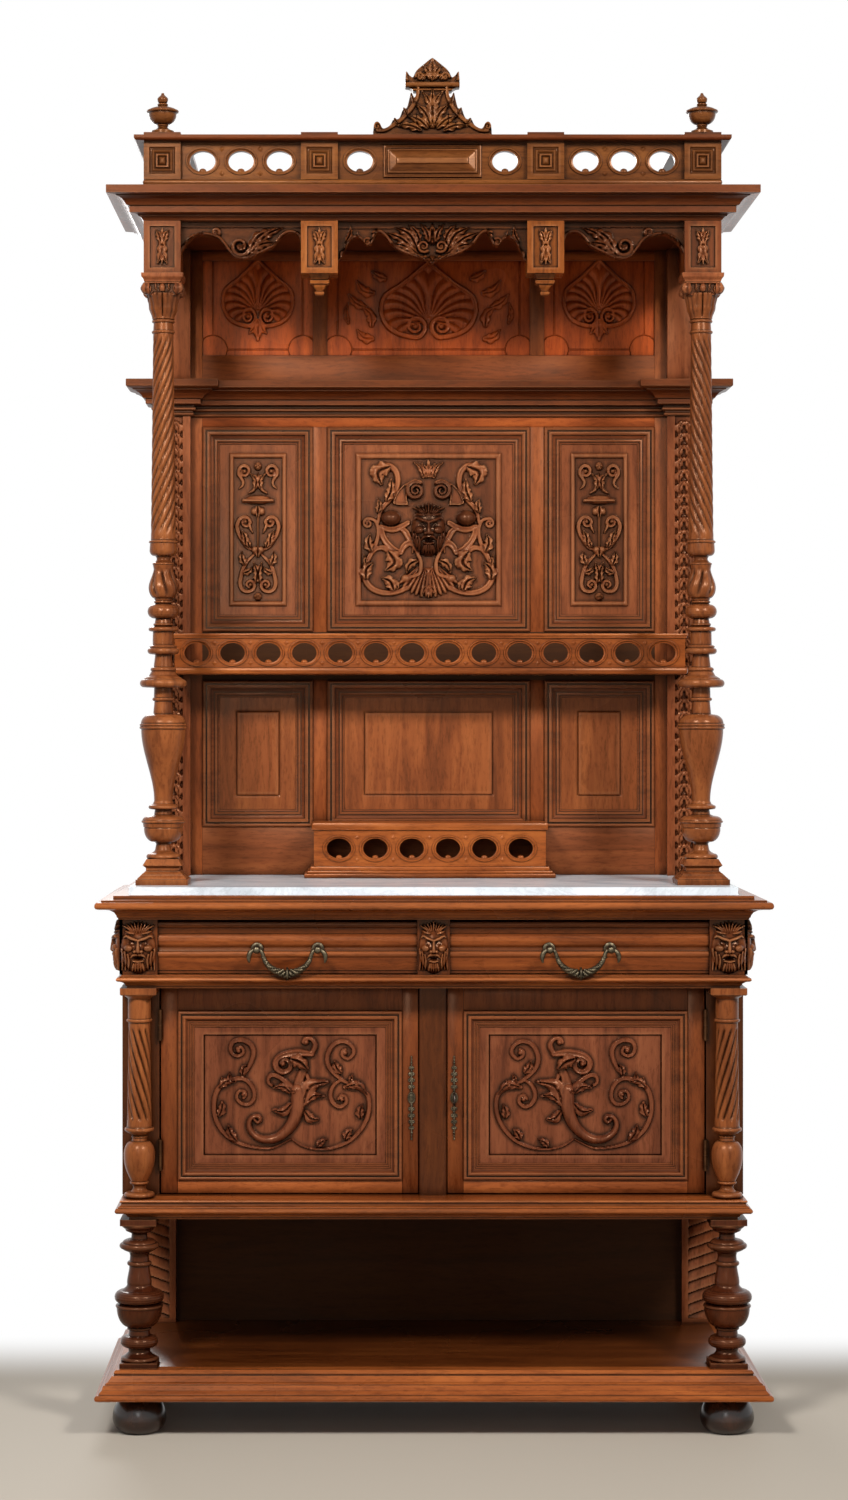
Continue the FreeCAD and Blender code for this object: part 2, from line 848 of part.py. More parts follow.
def make_feet():
    feet = []
    for x in ("-post_x", "post_x"):
        for y in ("post_y", "back - rear_foot_back"):
            feet.append(turned("foot", "foot_height", (x, y, "0")))
    subpart("bun_feet", feet)


def make_plinth():
    steps = [
        ("0", "0"),
        ("plinth_reach", "0"),
        ("plinth_reach", "plinth_fillet"),
        ("plinth_reach - plinth_fillet_step", "plinth_fillet"),
        ("plinth_reach - plinth_fillet_step - plinth_cove", "plinth_fillet + plinth_cove_rise", "upright_end"),
        ("plinth_reach - plinth_fillet_step - plinth_cove",
         "plinth_fillet + plinth_cove_rise + plinth_neck_rise"),
        ("plinth_reach - plinth_fillet_step - plinth_cove - plinth_round", "plinth_height", "upright_start"),
        ("0", "plinth_height"),
    ]
    rails = moulded_frame(steps, "plinth_reach", "half", "front", "back", "foot_height")
    rails.append(box(("-plinth_in", "plinth_in"), ("back - back_rail", "back"), ("foot_height", "shelf_top")))
    rails.append(box(("-plinth_in", "plinth_in"), ("plinth_in_y", "back - back_rail"),
                     ("shelf_top - shelf_thickness", "shelf_top")))
    subpart("plinth", rails)


def make_niche():
    balusters = []
    pilasters = []
    for side in ("left", "right"):
        balusters.append(turned("baluster", "niche_height", (across(side, "post_x"), "post_y", "shelf_top"),
                                ["baluster_foot"], ["baluster_head"]))
        pilasters.append(box(flank(side, "niche_in", "carcass_half"),
                             ("back - niche_pilaster_depth", "back"), ("shelf_top", "niche_top")))
    subpart("lower_balusters", balusters)
    subpart("niche_pilasters", pilasters)


def make_base_back():
    subpart("base_back_panels", [
        box(("-niche_in", "niche_in"), ("niche_panel_y", "niche_panel_y + panel_thickness"),
            ("shelf_top", "niche_top")),
        box(("-side_in", "side_in"), ("back_y", "back_y + back_panel_thickness"), ("floor_top", "cupboard_top")),
        box(("-rail_in", "rail_in"), ("back_y", "back_y + back_panel_thickness"), ("cupboard_top", "drawer_top")),
    ])


def make_floor():
    nose_out = "floor_reach - floor_nose / 2"
    steps = [
        ("0", "0"),
        ("floor_reach - floor_bed", "0"),
        ("floor_reach - floor_bed", "floor_bed_rise"),
        (nose_out, "floor_bed_rise"),
        (nose_out, "floor_bed_rise + floor_nose", "round"),
        ("floor_reach - floor_fillet_in", "floor_bed_rise + floor_nose"),
        ("floor_reach - floor_fillet_in", "floor_height"),
        ("0", "floor_height"),
    ]
    pieces = moulded_frame(steps, "floor_reach", "floor_half", "floor_front", "back", "niche_top")
    pieces.append(box(("-floor_in", "floor_in"), ("back - back_rail", "back"), ("niche_top", "floor_top")))
    pieces.append(box(("-floor_in", "floor_in"), ("floor_in_y", "back - back_rail"),
                      ("floor_top - floor_thickness", "floor_top")))
    subpart("cupboard_floor", pieces)


def make_front_stiles():
    stiles = []
    for side in ("left", "right"):
        stiles.append(box(flank(side, "stile_in", "carcass_half"), ("door_face", "door_face + stile_thickness"),
                          ("floor_top", "cupboard_top")))
    post = new_body()
    plan = new_sketch(post, "XY_Plane")
    draw(plan, [
        ("-post_half", "centre_post_thickness"),
        ("-post_half", "centre_post_proud"),
        ("-post_half + centre_post_round", "0", "level_end"),
        ("post_half - centre_post_round", "0"),
        ("post_half", "centre_post_proud", "level_start"),
        ("post_half", "centre_post_thickness"),
    ])
    pad(post, plan, "cupboard_height")
    place(post, "0", "door_face - centre_post_proud", "floor_top")
    subpart("front_stiles", stiles + [post])


def make_cupboard_side(side):
    front = "door_face + stile_thickness"
    members = flank(side, "side_in", "carcass_half")
    middle = flank(side, "side_in + (side_thickness - side_panel_thickness) / 2",
                   "side_in + (side_thickness + side_panel_thickness) / 2")
    inside_y = (f"{front} + side_stile", "back_y - side_stile")
    inside_z = ("floor_top + side_rail", "cupboard_top - side_rail")
    subpart(f"cupboard_side_{side}", [
        box(members, (front, inside_y[0]), ("floor_top", "cupboard_top")),
        box(members, (inside_y[1], "back_y"), ("floor_top", "cupboard_top")),
        box(members, inside_y, ("floor_top", inside_z[0])),
        box(members, inside_y, (inside_z[1], "cupboard_top")),
        box(middle, inside_y, inside_z),
    ])


def make_twisted_columns():
    subpart("base_columns", [
        turned("twist", "cupboard_height", (across(side, "post_x"), "post_y", "floor_top"),
               ["twist_foot"], ["twist_head"])
        for side in ("left", "right")
    ])


def make_cupboard_shelf():
    front = "door_back + cupboard_shelf_front"
    board = box(("-side_in", "side_in"), (front, "back_y"),
                ("shelf_level", "shelf_level + cupboard_shelf_thickness"))
    cleats = [
        box(flank(side, "side_in - cleat_width", "side_in"), (front, "back_y"),
            ("shelf_level - cleat_height", "shelf_level"))
        for side in ("left", "right")
    ]
    subpart("cupboard_shelf", [board] + cleats)


def make_drawer_floor():
    nose_out = "drawer_rail_reach - drawer_rail_nose / 2"
    nose_low = "drawer_rail_height - drawer_rail_nose - running_gap"
    steps = [
        ("0", "0"),
        ("drawer_rail_reach - drawer_rail_bed", "0"),
        ("drawer_rail_reach - drawer_rail_bed", "drawer_rail_bed_rise"),
        (nose_out, nose_low, "level_end"),
        (nose_out, f"{nose_low} + drawer_rail_nose", "round"),
        ("drawer_rail_reach - drawer_rail_nose / 2 - drawer_rail_fillet_in", f"{nose_low} + drawer_rail_nose"),
        ("drawer_rail_reach - drawer_rail_nose / 2 - drawer_rail_fillet_in", "drawer_rail_height"),
        ("0", "drawer_rail_height"),
    ]
    rails = moulded_frame(steps, "drawer_rail_reach", "rail_half", "rail_front", "back", "cupboard_top")
    runners = []
    for side in ("left", "right"):
        for inner, outer in (("drawer_inner", "drawer_inner + runner_width"),
                             ("drawer_outer - runner_width", "drawer_outer")):
            runners.append(box(flank(side, inner, outer), ("rail_in_y", "back_y"),
                               ("runner_level", "drawer_level")))
    dust = box(("-rail_in", "rail_in"), ("rail_in_y", "back_y"), ("cupboard_top", "runner_level"))
    subpart("drawer_floor", rails + [dust] + runners)
    guides = [box(("-divider_thickness / 2", "divider_thickness / 2"), ("mask_back", "back_y"),
                  ("runner_level", "drawer_top"))]
    for side in ("left", "right"):
        guides.append(box(flank(side, "mask_in", "side_in"), ("mask_back", "back_y"),
                          ("drawer_level", "drawer_level + guide_height")))
        guides.append(box(flank(side, "side_in", "carcass_half"), ("mask_back", "back"),
                          ("drawer_level", "drawer_top")))
    subpart("drawer_guides", guides)


def make_mask_blocks():
    masks = [box(("-centre_mask_half", "centre_mask_half"), ("mask_face", "mask_back"),
                 ("drawer_level", "drawer_top"))]
    for side in ("left", "right"):
        masks.append(box(flank(side, "mask_in", "carcass_half"), ("mask_face", "mask_back"),
                         ("drawer_level", "drawer_top")))
    subpart("mask_blocks", masks)


def make_top():
    lip_out = "top_reach - top_lip / 2"
    lip_low = "top_cove_rise + fit_gap"
    rebate_out = "top_reach - marble_inset + fit_gap"
    steps = [
        ("0", "0"),
        ("top_bed_out", "0"),
        ("top_bed_out + top_cove", "top_cove_rise", "upright_start"),
        ("top_bed_out + top_cove", lip_low),
        (lip_out, lip_low),
        (lip_out, f"{lip_low} + top_lip", "round"),
        ("top_reach - top_fillet_in", f"{lip_low} + top_lip"),
        ("top_reach - top_fillet_in", "top_fillet_rise"),
        (rebate_out, "top_fillet_rise"),
        (rebate_out, "top_bed_height"),
        ("0", "top_bed_height"),
    ]
    pieces = moulded_frame(steps, "top_reach", "half", "front", "back", "drawer_top")
    pieces.append(box(("-top_in", "top_in"), ("back - back_rail", "back"), ("drawer_top", "marble_bed")))
    pieces.append(box(("-top_in", "top_in"), ("top_in_y", "back - back_rail"),
                      ("marble_bed - top_panel_thickness", "marble_bed")))
    subpart("top_frame", pieces)
    subpart("marble_slabs", [
        box(span, ("marble_front", "back"), ("marble_bed", "marble_top"))
        for span in (("-marble_half", "marble_joint"), ("marble_joint", "marble_half"))
    ])


def door_pin_z(place_name):
    if place_name == "low":
        return "door_low + hinge_from_end"
    return "door_high - hinge_from_end - hinge_height"


def make_fixed_hinges():
    leaves = []
    for side in ("left", "right"):
        for end in ("low", "high"):
            leaves.append(hinge_leaf(side, door_pin_z(end), fixed=True))
    subpart("stile_hinge_leaves", leaves)


def hinge_leaf(side, low, fixed):
    # One leaf of a lift-off hinge: the fixed one has the lower barrel and the pin, the other the upper barrel
    middle = f"{low} + hinge_height / 2"
    high = f"{low} + hinge_height"
    near = "hinge_barrel_radius + fit_gap"
    if fixed:
        span = flank(side, "stile_in - hinge_leaf", "stile_in")
        barrel_z = (low, f"{middle} - fit_gap")
    else:
        span = flank(side, "door_outer", "door_outer + hinge_leaf")
        barrel_z = (middle, high)
    leaf_back = "hinge_y + hinge_barrel_radius + hinge_leaf_depth"
    plate = box(span, (f"hinge_y + {near}", leaf_back), (low, high))
    neck = box(span, ("hinge_y", f"hinge_y + {near}"), barrel_z)
    at = (across(side, "hinge_x"), "hinge_y", barrel_z[0])
    barrel_height = f"({barrel_z[1]}) - ({barrel_z[0]})"
    barrel = rod("hinge_barrel_radius", barrel_height, at)
    if fixed:
        pin = rod("hinge_pin_radius", "hinge_height - 2 * fit_gap", at)
        return fuse(plate, neck, barrel, pin)
    bore = rod("hinge_pin_radius + pin_gap", barrel_height, at)
    return cut(fuse(plate, neck, barrel), bore)


def keyhole(side, front, rear):
    depth = f"({rear}) - ({front})"
    hole = rod("key_radius + keyhole_gap", depth, (across(side, "lock_x"), front, "lock_z"),
               FreeCAD.Vector(0, 1, 0))
    half = "(key_bit_thickness / 2 + keyhole_gap)"
    slot_x = (f"{across(side, 'lock_x')} - {half}", f"{across(side, 'lock_x')} + {half}")
    slot = box(slot_x, (front, rear), ("lock_z - key_bit_length - keyhole_gap", "lock_z"))
    return fuse(hole, slot)


def make_door(side):
    thick = ("door_face", "door_back")
    inner_stile = box(flank(side, "door_inner", "opening_inner"), thick, ("door_low", "door_high"))
    subpart(f"door_{side}_frame", [
        box(flank(side, "opening_outer", "door_outer"), thick, ("door_low", "door_high")),
        cut(inner_stile, keyhole(side, "door_face - running_gap", "door_back + running_gap")),
        box(flank(side, "opening_inner", "opening_outer"), thick, ("door_low", "opening_low")),
        box(flank(side, "opening_inner", "opening_outer"), thick, ("opening_high", "door_high")),
    ])
    panel_face = "door_face + door_panel_sunk"
    subpart(f"door_{side}_panel", [
        box(flank(side, "opening_inner", "opening_outer"),
            (panel_face, f"{panel_face} + door_panel_thickness"), ("opening_low", "opening_high")),
    ])
    outer = ("opening_wide + 2 * door_moulding_cover", "opening_tall + 2 * door_moulding_cover")
    inner = ("opening_wide - 2 * door_moulding_inside", "opening_tall - 2 * door_moulding_inside")
    subpart(f"door_{side}_moulding", [
        picture_frame(outer, inner, "door_moulding_proud", "door_moulding_slope",
                      (across(side, "opening_x"), "door_face", "opening_z"),
                      ("opening_wide", "opening_tall"), "door_panel_sunk"),
    ])
    subpart(f"door_{side}_hinge_leaves", [
        hinge_leaf(side, door_pin_z(end), fixed=False) for end in ("low", "high")
    ])
    make_escutcheon(side)
    make_lock(side)


def make_escutcheon(side):
    plate = new_body()
    face = new_sketch(plate, "XZ_Plane")
    tip = "escutcheon_half_height"
    lobe = f"({tip} - escutcheon_tip)"
    draw(face, [
        ("escutcheon_tip", f"-{lobe}", "level_start"),
        ("escutcheon_waist", "-escutcheon_waist_rise"),
        ("escutcheon_half_width", "-escutcheon_swell_rise"),
        ("escutcheon_half_width", "escutcheon_swell_rise"),
        ("escutcheon_waist", "escutcheon_waist_rise"),
        ("escutcheon_tip", lobe),
        ("0", tip, "level_end"),
        ("-escutcheon_tip", lobe, "level_start"),
        ("-escutcheon_waist", "escutcheon_waist_rise"),
        ("-escutcheon_half_width", "escutcheon_swell_rise"),
        ("-escutcheon_half_width", "-escutcheon_swell_rise"),
        ("-escutcheon_waist", "-escutcheon_waist_rise"),
        ("-escutcheon_tip", f"-{lobe}"),
        ("0", f"-{tip}", "level_end"),
    ])
    pad(plate, face, "escutcheon_thickness")
    place(plate, across(side, "lock_x"), "door_face", "lock_z")
    hole = keyhole(side, "door_face - escutcheon_thickness - running_gap", "door_face + running_gap")
    subpart(f"door_{side}_escutcheon", [cut(plate, hole)])


def make_lock(side):
    case = box(flank(side, "case_in", "case_out"), ("door_back", "case_back"),
               ("lock_z - lock_case_height / 2", "lock_z + lock_case_height / 2"))
    tunnel = box(flank(side, "case_in - running_gap", "case_out + running_gap"),
                 ("bolt_front - fit_gap", "bolt_back + fit_gap"), ("bolt_low - fit_gap", "bolt_high + fit_gap"))
    chamber_depth = "lock_case_depth - lock_chamber_wall"
    chamber = rod("key_bit_length + running_gap", f"{chamber_depth} + running_gap",
                  (across(side, "lock_x"), "door_back - running_gap", "lock_z"), FreeCAD.Vector(0, 1, 0))
    bearing = rod("key_radius + pin_gap", "lock_case_depth + 2 * running_gap",
                  (across(side, "lock_x"), "door_back - running_gap", "lock_z"), FreeCAD.Vector(0, 1, 0))
    subpart(f"door_{side}_lock_case", [cut(case, tunnel, chamber, bearing)])
    subpart(f"door_{side}_lock_bolt", [
        box(flank(side, "case_in", "case_out"), ("bolt_front", "bolt_back"), ("bolt_low", "bolt_high")),
    ])


def make_key():
    back_direction = FreeCAD.Vector(0, 1, 0)
    tip = "case_back"
    collar = "door_face - escutcheon_thickness - key_stem_out"
    stem = rod("key_radius", f"({tip}) - ({collar})", ("lock_x", collar, "lock_z"), back_direction)
    bit_front = "case_back - lock_chamber_wall - running_gap - key_bit_depth"
    bit = box(("lock_x - key_bit_thickness / 2", "lock_x + key_bit_thickness / 2"),
              (bit_front, f"{bit_front} + key_bit_depth"), ("lock_z - key_bit_length", "lock_z"))
    bow = doc.addObject("Part::Torus", "bow")
    bind(bow, Radius1="key_bow_radius", Radius2="key_bow_wire")
    turn_about(bow, back_direction, 90)
    place(bow, "lock_x", f"{collar} - key_bow_radius", "lock_z")
    subpart("door_key", [fuse(stem, bit, bow)])


def drawer_front(side):
    # A front with two broad bands and a bead between them, run along its length
    front = new_body()
    profile = new_sketch(front, "YZ_Plane")
    tall = "drawer_high - drawer_low"
    low_bead = "drawer_band_fillet + drawer_band_flat"
    high_bead = f"{low_bead} + drawer_bead"
    draw(profile, [
        ("drawer_front_thickness", "0"),
        ("0", "0"),
        ("0", "drawer_band_fillet"),
        ("drawer_band", low_bead),
        ("drawer_band / 2", f"{low_bead} + drawer_bead / 2", "upright_end"),
        ("drawer_band", high_bead, "upright_start"),
        ("0", f"{high_bead} + drawer_band_fillet", "level_end"),
        ("0", f"{tall} - drawer_band_fillet"),
        ("drawer_band", tall),
        ("drawer_front_thickness", tall),
    ])
    pad(front, profile, "drawer_outer - drawer_inner", symmetric=True)
    place(front, across(side, "drawer_x"), "drawer_face", "drawer_low")
    return front


def make_drawer(side):
    subpart(f"drawer_{side}_front", [drawer_front(side)])
    box_y = ("drawer_box_front", "drawer_box_back")
    inner_side = ("drawer_inner", "drawer_inner + drawer_side")
    outer_side = ("drawer_outer - drawer_side", "drawer_outer")
    inside = flank(side, inner_side[1], outer_side[0])
    bottom_low = "drawer_level + drawer_bottom_rise"
    bottom_top = f"{bottom_low} + drawer_bottom_thickness"
    subpart(f"drawer_{side}_box", [
        box(flank(side, *inner_side), box_y, ("drawer_level", "drawer_box_top")),
        box(flank(side, *outer_side), box_y, ("drawer_level", "drawer_box_top")),
        box(inside, ("drawer_box_back - drawer_side", "drawer_box_back"), (bottom_top, "drawer_box_top")),
        box(inside, box_y, (bottom_low, bottom_top)),
    ])
    make_handle(side)


def make_handle(side):
    middle = across(side, "drawer_x")
    posts = []
    for offset in ("-handle_span / 2", "handle_span / 2"):
        x = f"{middle} + ({offset})"
        stem = rod("handle_post_radius", "handle_post_length + drawer_band / 2", (x, "handle_y", "handle_z"),
                   FreeCAD.Vector(0, 1, 0))
        eye = doc.addObject("Part::Sphere", "eye")
        bind(eye, Radius="handle_eye_radius")
        place(eye, x, "handle_y", "handle_z")
        bore = rod("bail_radius + pin_gap", "4 * handle_eye_radius",
                   (f"{x} - 2 * handle_eye_radius", "handle_y", "handle_z"), FreeCAD.Vector(1, 0, 0))
        posts.append(cut(fuse(stem, eye), bore))
    subpart(f"drawer_{side}_handle_posts", posts)
    subpart(f"drawer_{side}_bail", [bail(middle)])


def bail(middle):
    # A round bar through both eyes, turned down at the inside of each and sagging between them
    body = new_body()
    path = new_sketch(body, "XZ_Plane")
    end_x = "(handle_span / 2 + bail_end)"
    bend_x = "(handle_span / 2 - bail_shoulder)"
    run = [
        (f"-{end_x}", "0"),
        (f"-{bend_x}", "0"),
        (f"-{bend_x} + bail_corner", "-bail_corner", "upright_end"),
        ("0", "-bail_sag", "level_end"),
        (f"{bend_x} - bail_corner", "-bail_corner", "level_start"),
        (bend_x, "0", "upright_start"),
        (end_x, "0"),
    ]
    draw_open(path, run)
    section = new_sketch(body, "YZ_Plane")
    draw_circle(section, "0", "0", "bail_radius")
    section.setExpression("AttachmentOffset.Base.z", formula(f"-{end_x}"))
    bar = body.newObject("PartDesign::AdditivePipe", "bar")
    bar.Profile = section
    bar.Spine = path
    place(body, middle, "handle_y", "handle_z")
    return body


def draw_open(sketch, steps):
    # The same as a closed outline, without the edge from its end to its start
    spots = [FreeCAD.Vector(number(step[0]), number(step[1]), 0) for step in steps]
    ends = []
    rules = [("DistanceX", 0, 1, steps[0][0]), ("DistanceY", 0, 1, steps[0][1])]
    for index in range(1, len(steps)):
        step = steps[index]
        edge = index - 1
        if len(step) == 3:
            arc, start_vertex, end_vertex = arc_edge(spots[edge], spots[index], step[2])
            sketch.addGeometry(arc)
            ends.append((start_vertex, end_vertex))
            held = steps[edge] if step[2].endswith("start") else step
            if step[2].startswith("upright"):
                rules.append(("DistanceY", edge, 3, held[1]))
            else:
                rules.append(("DistanceX", edge, 3, held[0]))
        else:
            sketch.addGeometry(Part.LineSegment(spots[edge], spots[index]))
            ends.append((1, 2))
        rules.append(("DistanceX", edge, ends[-1][1], step[0]))
        rules.append(("DistanceY", edge, ends[-1][1], step[1]))
    for edge in range(len(ends) - 1):
        sketch.addConstraint(
            Sketcher.Constraint("Coincident", edge, ends[edge][1], edge + 1, ends[edge + 1][0]))
    for kind, edge, vertex, text in rules:
        held = sketch.addConstraint(Sketcher.Constraint(kind, -1, 1, edge, vertex, number(text)))
        sketch.setExpression(f"Constraints[{held}]", formula(text))


def make_upper_columns():
    subpart("upper_columns", [
        turned("column", "column_height", (across(side, "column_x"), "column_y", "marble_top"),
               ["pedestal_base", "pedestal_notch", "pedestal_cap"], ["volute", "abacus"])
        for side in ("left", "right")
    ])


bays = {
    "left": ("-wall_stile_inner", "-muntin_outer"),
    "centre": ("-muntin_inner", "muntin_inner"),
    "right": ("muntin_outer", "wall_stile_inner"),
}


def make_wall():
    thick = ("wall_face", "back")
    pieces = []
    for side in ("left", "right"):
        pieces.append(box(flank(side, "wall_stile_inner", "pilaster_outer"), thick,
                          ("marble_top", "cornice_level")))
    rails = (("marble_top", "low_rail_top"), ("low_panel_top", "shelf_rail_top"),
             ("carved_panel_top", "cornice_rail_top"), ("shell_panel_top", "cornice_level"))
    for rail in rails:
        pieces.append(box(("-wall_stile_inner", "wall_stile_inner"), thick, rail))
    rows = (("low_rail_top", "low_panel_top"), ("shelf_rail_top", "carved_panel_top"),
            ("cornice_rail_top", "shell_panel_top"))
    for row in rows:
        for side in ("left", "right"):
            pieces.append(box(flank(side, "muntin_inner", "muntin_outer"), thick, row))
    subpart("upper_back_frame", pieces)
    panel_y = ("wall_face + back_panel_sunk", "wall_face + back_panel_sunk + panel_thickness")
    for label, row in zip(("plain_back_panels", "carved_back_panels", "shell_panels"), rows):
        subpart(label, [box(span, panel_y, row) for span in bays.values()])
    mouldings = []
    for low, high in rows[:2]:
        for left, right in bays.values():
            outer = (f"{right} - ({left})", f"{high} - {low}")
            inner = [f"{size} - 2 * panel_moulding_width" for size in outer]
            mouldings.append(picture_frame(
                outer, inner, "panel_moulding_thickness", "panel_moulding_slope",
                (f"({left} + {right}) / 2", "wall_face + back_panel_sunk", f"({low} + {high}) / 2")))
    subpart("panel_mouldings", mouldings)


def make_pilasters():
    lengths = []
    for side in ("left", "right"):
        for low, high in (("marble_top", "mid_cornice_low"), ("mid_cornice_low", "cornice_level")):
            lengths.append(box(flank(side, "pilaster_in", "pilaster_outer"), ("pilaster_face", "wall_face"),
                               (low, high)))
    subpart("upper_pilasters", lengths)


def make_mid_cornice():
    cove_out = "mid_cornice_fillet + mid_cornice_cove"
    cove_top = "mid_cornice_fillet_rise + mid_cornice_cove_rise"
    fascia_low = "mid_cornice_height - mid_cornice_fascia"
    steps = [
        ("0", "0"),
        ("mid_cornice_fillet", "0"),
        ("mid_cornice_fillet", "mid_cornice_fillet_rise"),
        (cove_out, cove_top, "upright_start"),
        ("mid_cornice_reach", fascia_low),
        ("mid_cornice_reach", "mid_cornice_height"),
        ("0", "mid_cornice_height"),
    ]
    level = "mid_cornice_low"
    reach = "mid_cornice_reach"
    runs = [moulding(steps, reach, "2 * pilaster_in", ("inside", "inside"), -90,
                     ("-pilaster_in", "wall_face", level))]
    for side in ("left", "right"):
        span = flank(side, "pilaster_in", "pilaster_outer")
        runs.append(moulding(steps, reach, "pilaster_width", ("outside", "outside"), -90,
                             (span[0], "pilaster_face", level)))
        left_end = "square" if side == "left" else "inside"
        right_end = "inside" if side == "left" else "square"
        left_rear = "back" if side == "left" else "wall_face"
        right_rear = "wall_face" if side == "left" else "back"
        runs.append(moulding(steps, reach, f"{left_rear} - pilaster_face", (left_end, "outside"), 180,
                             (span[0], left_rear, level)))
        runs.append(moulding(steps, reach, f"{right_rear} - pilaster_face", ("outside", right_end), 0,
                             (span[1], "pilaster_face", level)))
    subpart("mid_cornice", runs)


def hole_row(run, pitch, level, radius, middle="0"):
    # As many holes as a run has room for at that pitch, centred on its middle
    room = number(f"({run}) - 2 * {radius} - 2 * gallery_hole_land")
    steps = int(room / number(pitch))
    return [(f"{middle} + ({step} - {steps} / 2) * {pitch}", level, radius) for step in range(steps + 1)]


def make_plate_shelf():
    board = new_body()
    plan = new_sketch(board, "XY_Plane")
    draw(plan, [
        ("-plate_shelf_half", "plate_front"),
        ("plate_shelf_half", "plate_front"),
        ("plate_shelf_half", "pilaster_face"),
        ("pilaster_in", "pilaster_face"),
        ("pilaster_in", "wall_face"),
        ("-pilaster_in", "wall_face"),
        ("-pilaster_in", "pilaster_face"),
        ("-plate_shelf_half", "pilaster_face"),
    ])
    pad(board, plan, "plate_shelf_thickness")
    place(board, "0", "0", "plate_level")
    end_out = "plate_shelf_half - gallery_edge"
    rail_y = "plate_front + gallery_edge + gallery_thickness / 2"
    rail_back = "plate_front + gallery_edge + gallery_thickness"
    holes = hole_row(f"2 * ({end_out})", "plate_hole_pitch", "plate_top + gallery_rail_height / 2",
                     "gallery_hole_radius")
    pieces = [
        board,
        fretted_board((f"-({end_out})", end_out), ("plate_top", "plate_cap_level"), "gallery_thickness",
                      holes, rail_y),
        box(("-plate_shelf_half", "plate_shelf_half"), ("plate_front", "plate_front + gallery_cap_width"),
            ("plate_cap_level", "plate_cap_level + gallery_cap")),
    ]
    for side in ("left", "right"):
        pieces.append(box(flank(side, f"{end_out} - gallery_thickness", end_out), (rail_back, "pilaster_face"),
                          ("plate_top", "plate_cap_level")))
    subpart("plate_shelf", pieces)


def make_small_gallery():
    rail_y = "small_front + gallery_edge + gallery_thickness / 2"
    rail_back = "small_front + gallery_edge + gallery_thickness"
    end_out = "small_gallery_half - gallery_edge"
    holes = hole_row(f"2 * ({end_out})", "small_hole_pitch", "small_base_top + small_gallery_rail / 2",
                     "gallery_hole_radius")
    pieces = [
        box(("-small_gallery_base_half", "small_gallery_base_half"), ("small_front", "wall_face"),
            ("marble_top", "small_base_top")),
        fretted_board((f"-({end_out})", end_out), ("small_base_top", "small_cap_level"), "gallery_thickness",
                      holes, rail_y),
        box(("-small_gallery_half", "small_gallery_half"), ("small_front", "wall_face - panel_moulding_slope"),
            ("small_cap_level", "small_cap_level + small_gallery_cap")),
    ]
    for side in ("left", "right"):
        pieces.append(box(flank(side, f"{end_out} - gallery_thickness", end_out), (rail_back, "wall_face"),
                          ("small_base_top", "small_cap_level")))
    subpart("small_gallery", pieces)


def pendant_block(x):
    # A frieze block with a turned drop under it
    cube = box((f"{x} - block_half", f"{x} + block_half"), ("block_face", "block_back"),
               ("frieze_level", "cornice_level"))
    drop = doc.addObject("Part::Cone", "drop")
    bind(drop, Radius1="pendant_radius / 4", Radius2="pendant_radius", Height="pendant_drop")
    place(drop, x, "column_y", "frieze_level - pendant_drop")
    return fuse(cube, drop)


def make_frieze():
    corner_blocks = [
        box((f"{x} - block_half", f"{x} + block_half"), ("block_face", "block_back"),
            ("frieze_level", "cornice_level"))
        for x in ("-column_x", "column_x")
    ]
    subpart("frieze_blocks", corner_blocks + [pendant_block("-mid_block_x"), pendant_block("mid_block_x")])
    spans = (
        ("-column_x + block_half", "-mid_block_x - block_half"),
        ("-mid_block_x + block_half", "mid_block_x - block_half"),
        ("mid_block_x + block_half", "column_x - block_half"),
    )
    subpart("front_aprons", [apron(left, right) for left, right in spans])
    subpart("side_aprons", [
        box(flank(side, "column_x - side_apron_thickness / 2", "column_x + side_apron_thickness / 2"),
            ("block_back", "pilaster_face"), ("cornice_level - side_apron_height", "cornice_level"))
        for side in ("left", "right")
    ])


def apron(left, right):
    # A board whose lower edge swings up to two cusps between lobes at its ends and middle
    board = new_body()
    face = new_sketch(board, "XZ_Plane")
    half = f"(({right}) - ({left})) / 2"
    cusp = f"{half} / 2"
    draw(face, [
        (f"-{half}", "0"),
        (f"-{half}", "-apron_end"),
        (f"-{cusp}", "-apron_cusp", "level_end"),
        ("0", "-apron_middle", "level_end"),
        (cusp, "-apron_cusp", "level_start"),
        (half, "-apron_end", "level_start"),
        (half, "0"),
    ])
    pad(board, face, "apron_thickness", symmetric=True)
    place(board, f"(({left}) + ({right})) / 2", "column_y", "cornice_level")
    return board


def make_cornice():
    cyma_low = "cornice_ovolo_rise + cornice_step_rise"
    cyma_in = "cornice_bed_out + cornice_ovolo + cornice_step"
    fascia_low = "cornice_height - cornice_fascia"
    steps = [
        ("0", "0"),
        ("cornice_bed_out", "0"),
        ("cornice_bed_out + cornice_ovolo", "cornice_ovolo_rise", "upright_end"),
        (cyma_in, "cornice_ovolo_rise"),
        (cyma_in, cyma_low),
        (f"{cyma_in} + cornice_cyma", f"{cyma_low} + cornice_cyma_rise", "upright_start"),
        ("cornice_reach", fascia_low),
        ("cornice_reach", "cornice_height"),
        ("0", "cornice_height"),
    ]
    subpart("cornice", moulded_frame(steps, "cornice_reach", "cornice_half", "cornice_face", "back",
                                     "cornice_level"))
    subpart("canopy_board", [
        box(("-cornice_in", "cornice_in"), ("cornice_in_y", "back"),
            ("cornice_level", "cornice_level + canopy_thickness")),
    ])


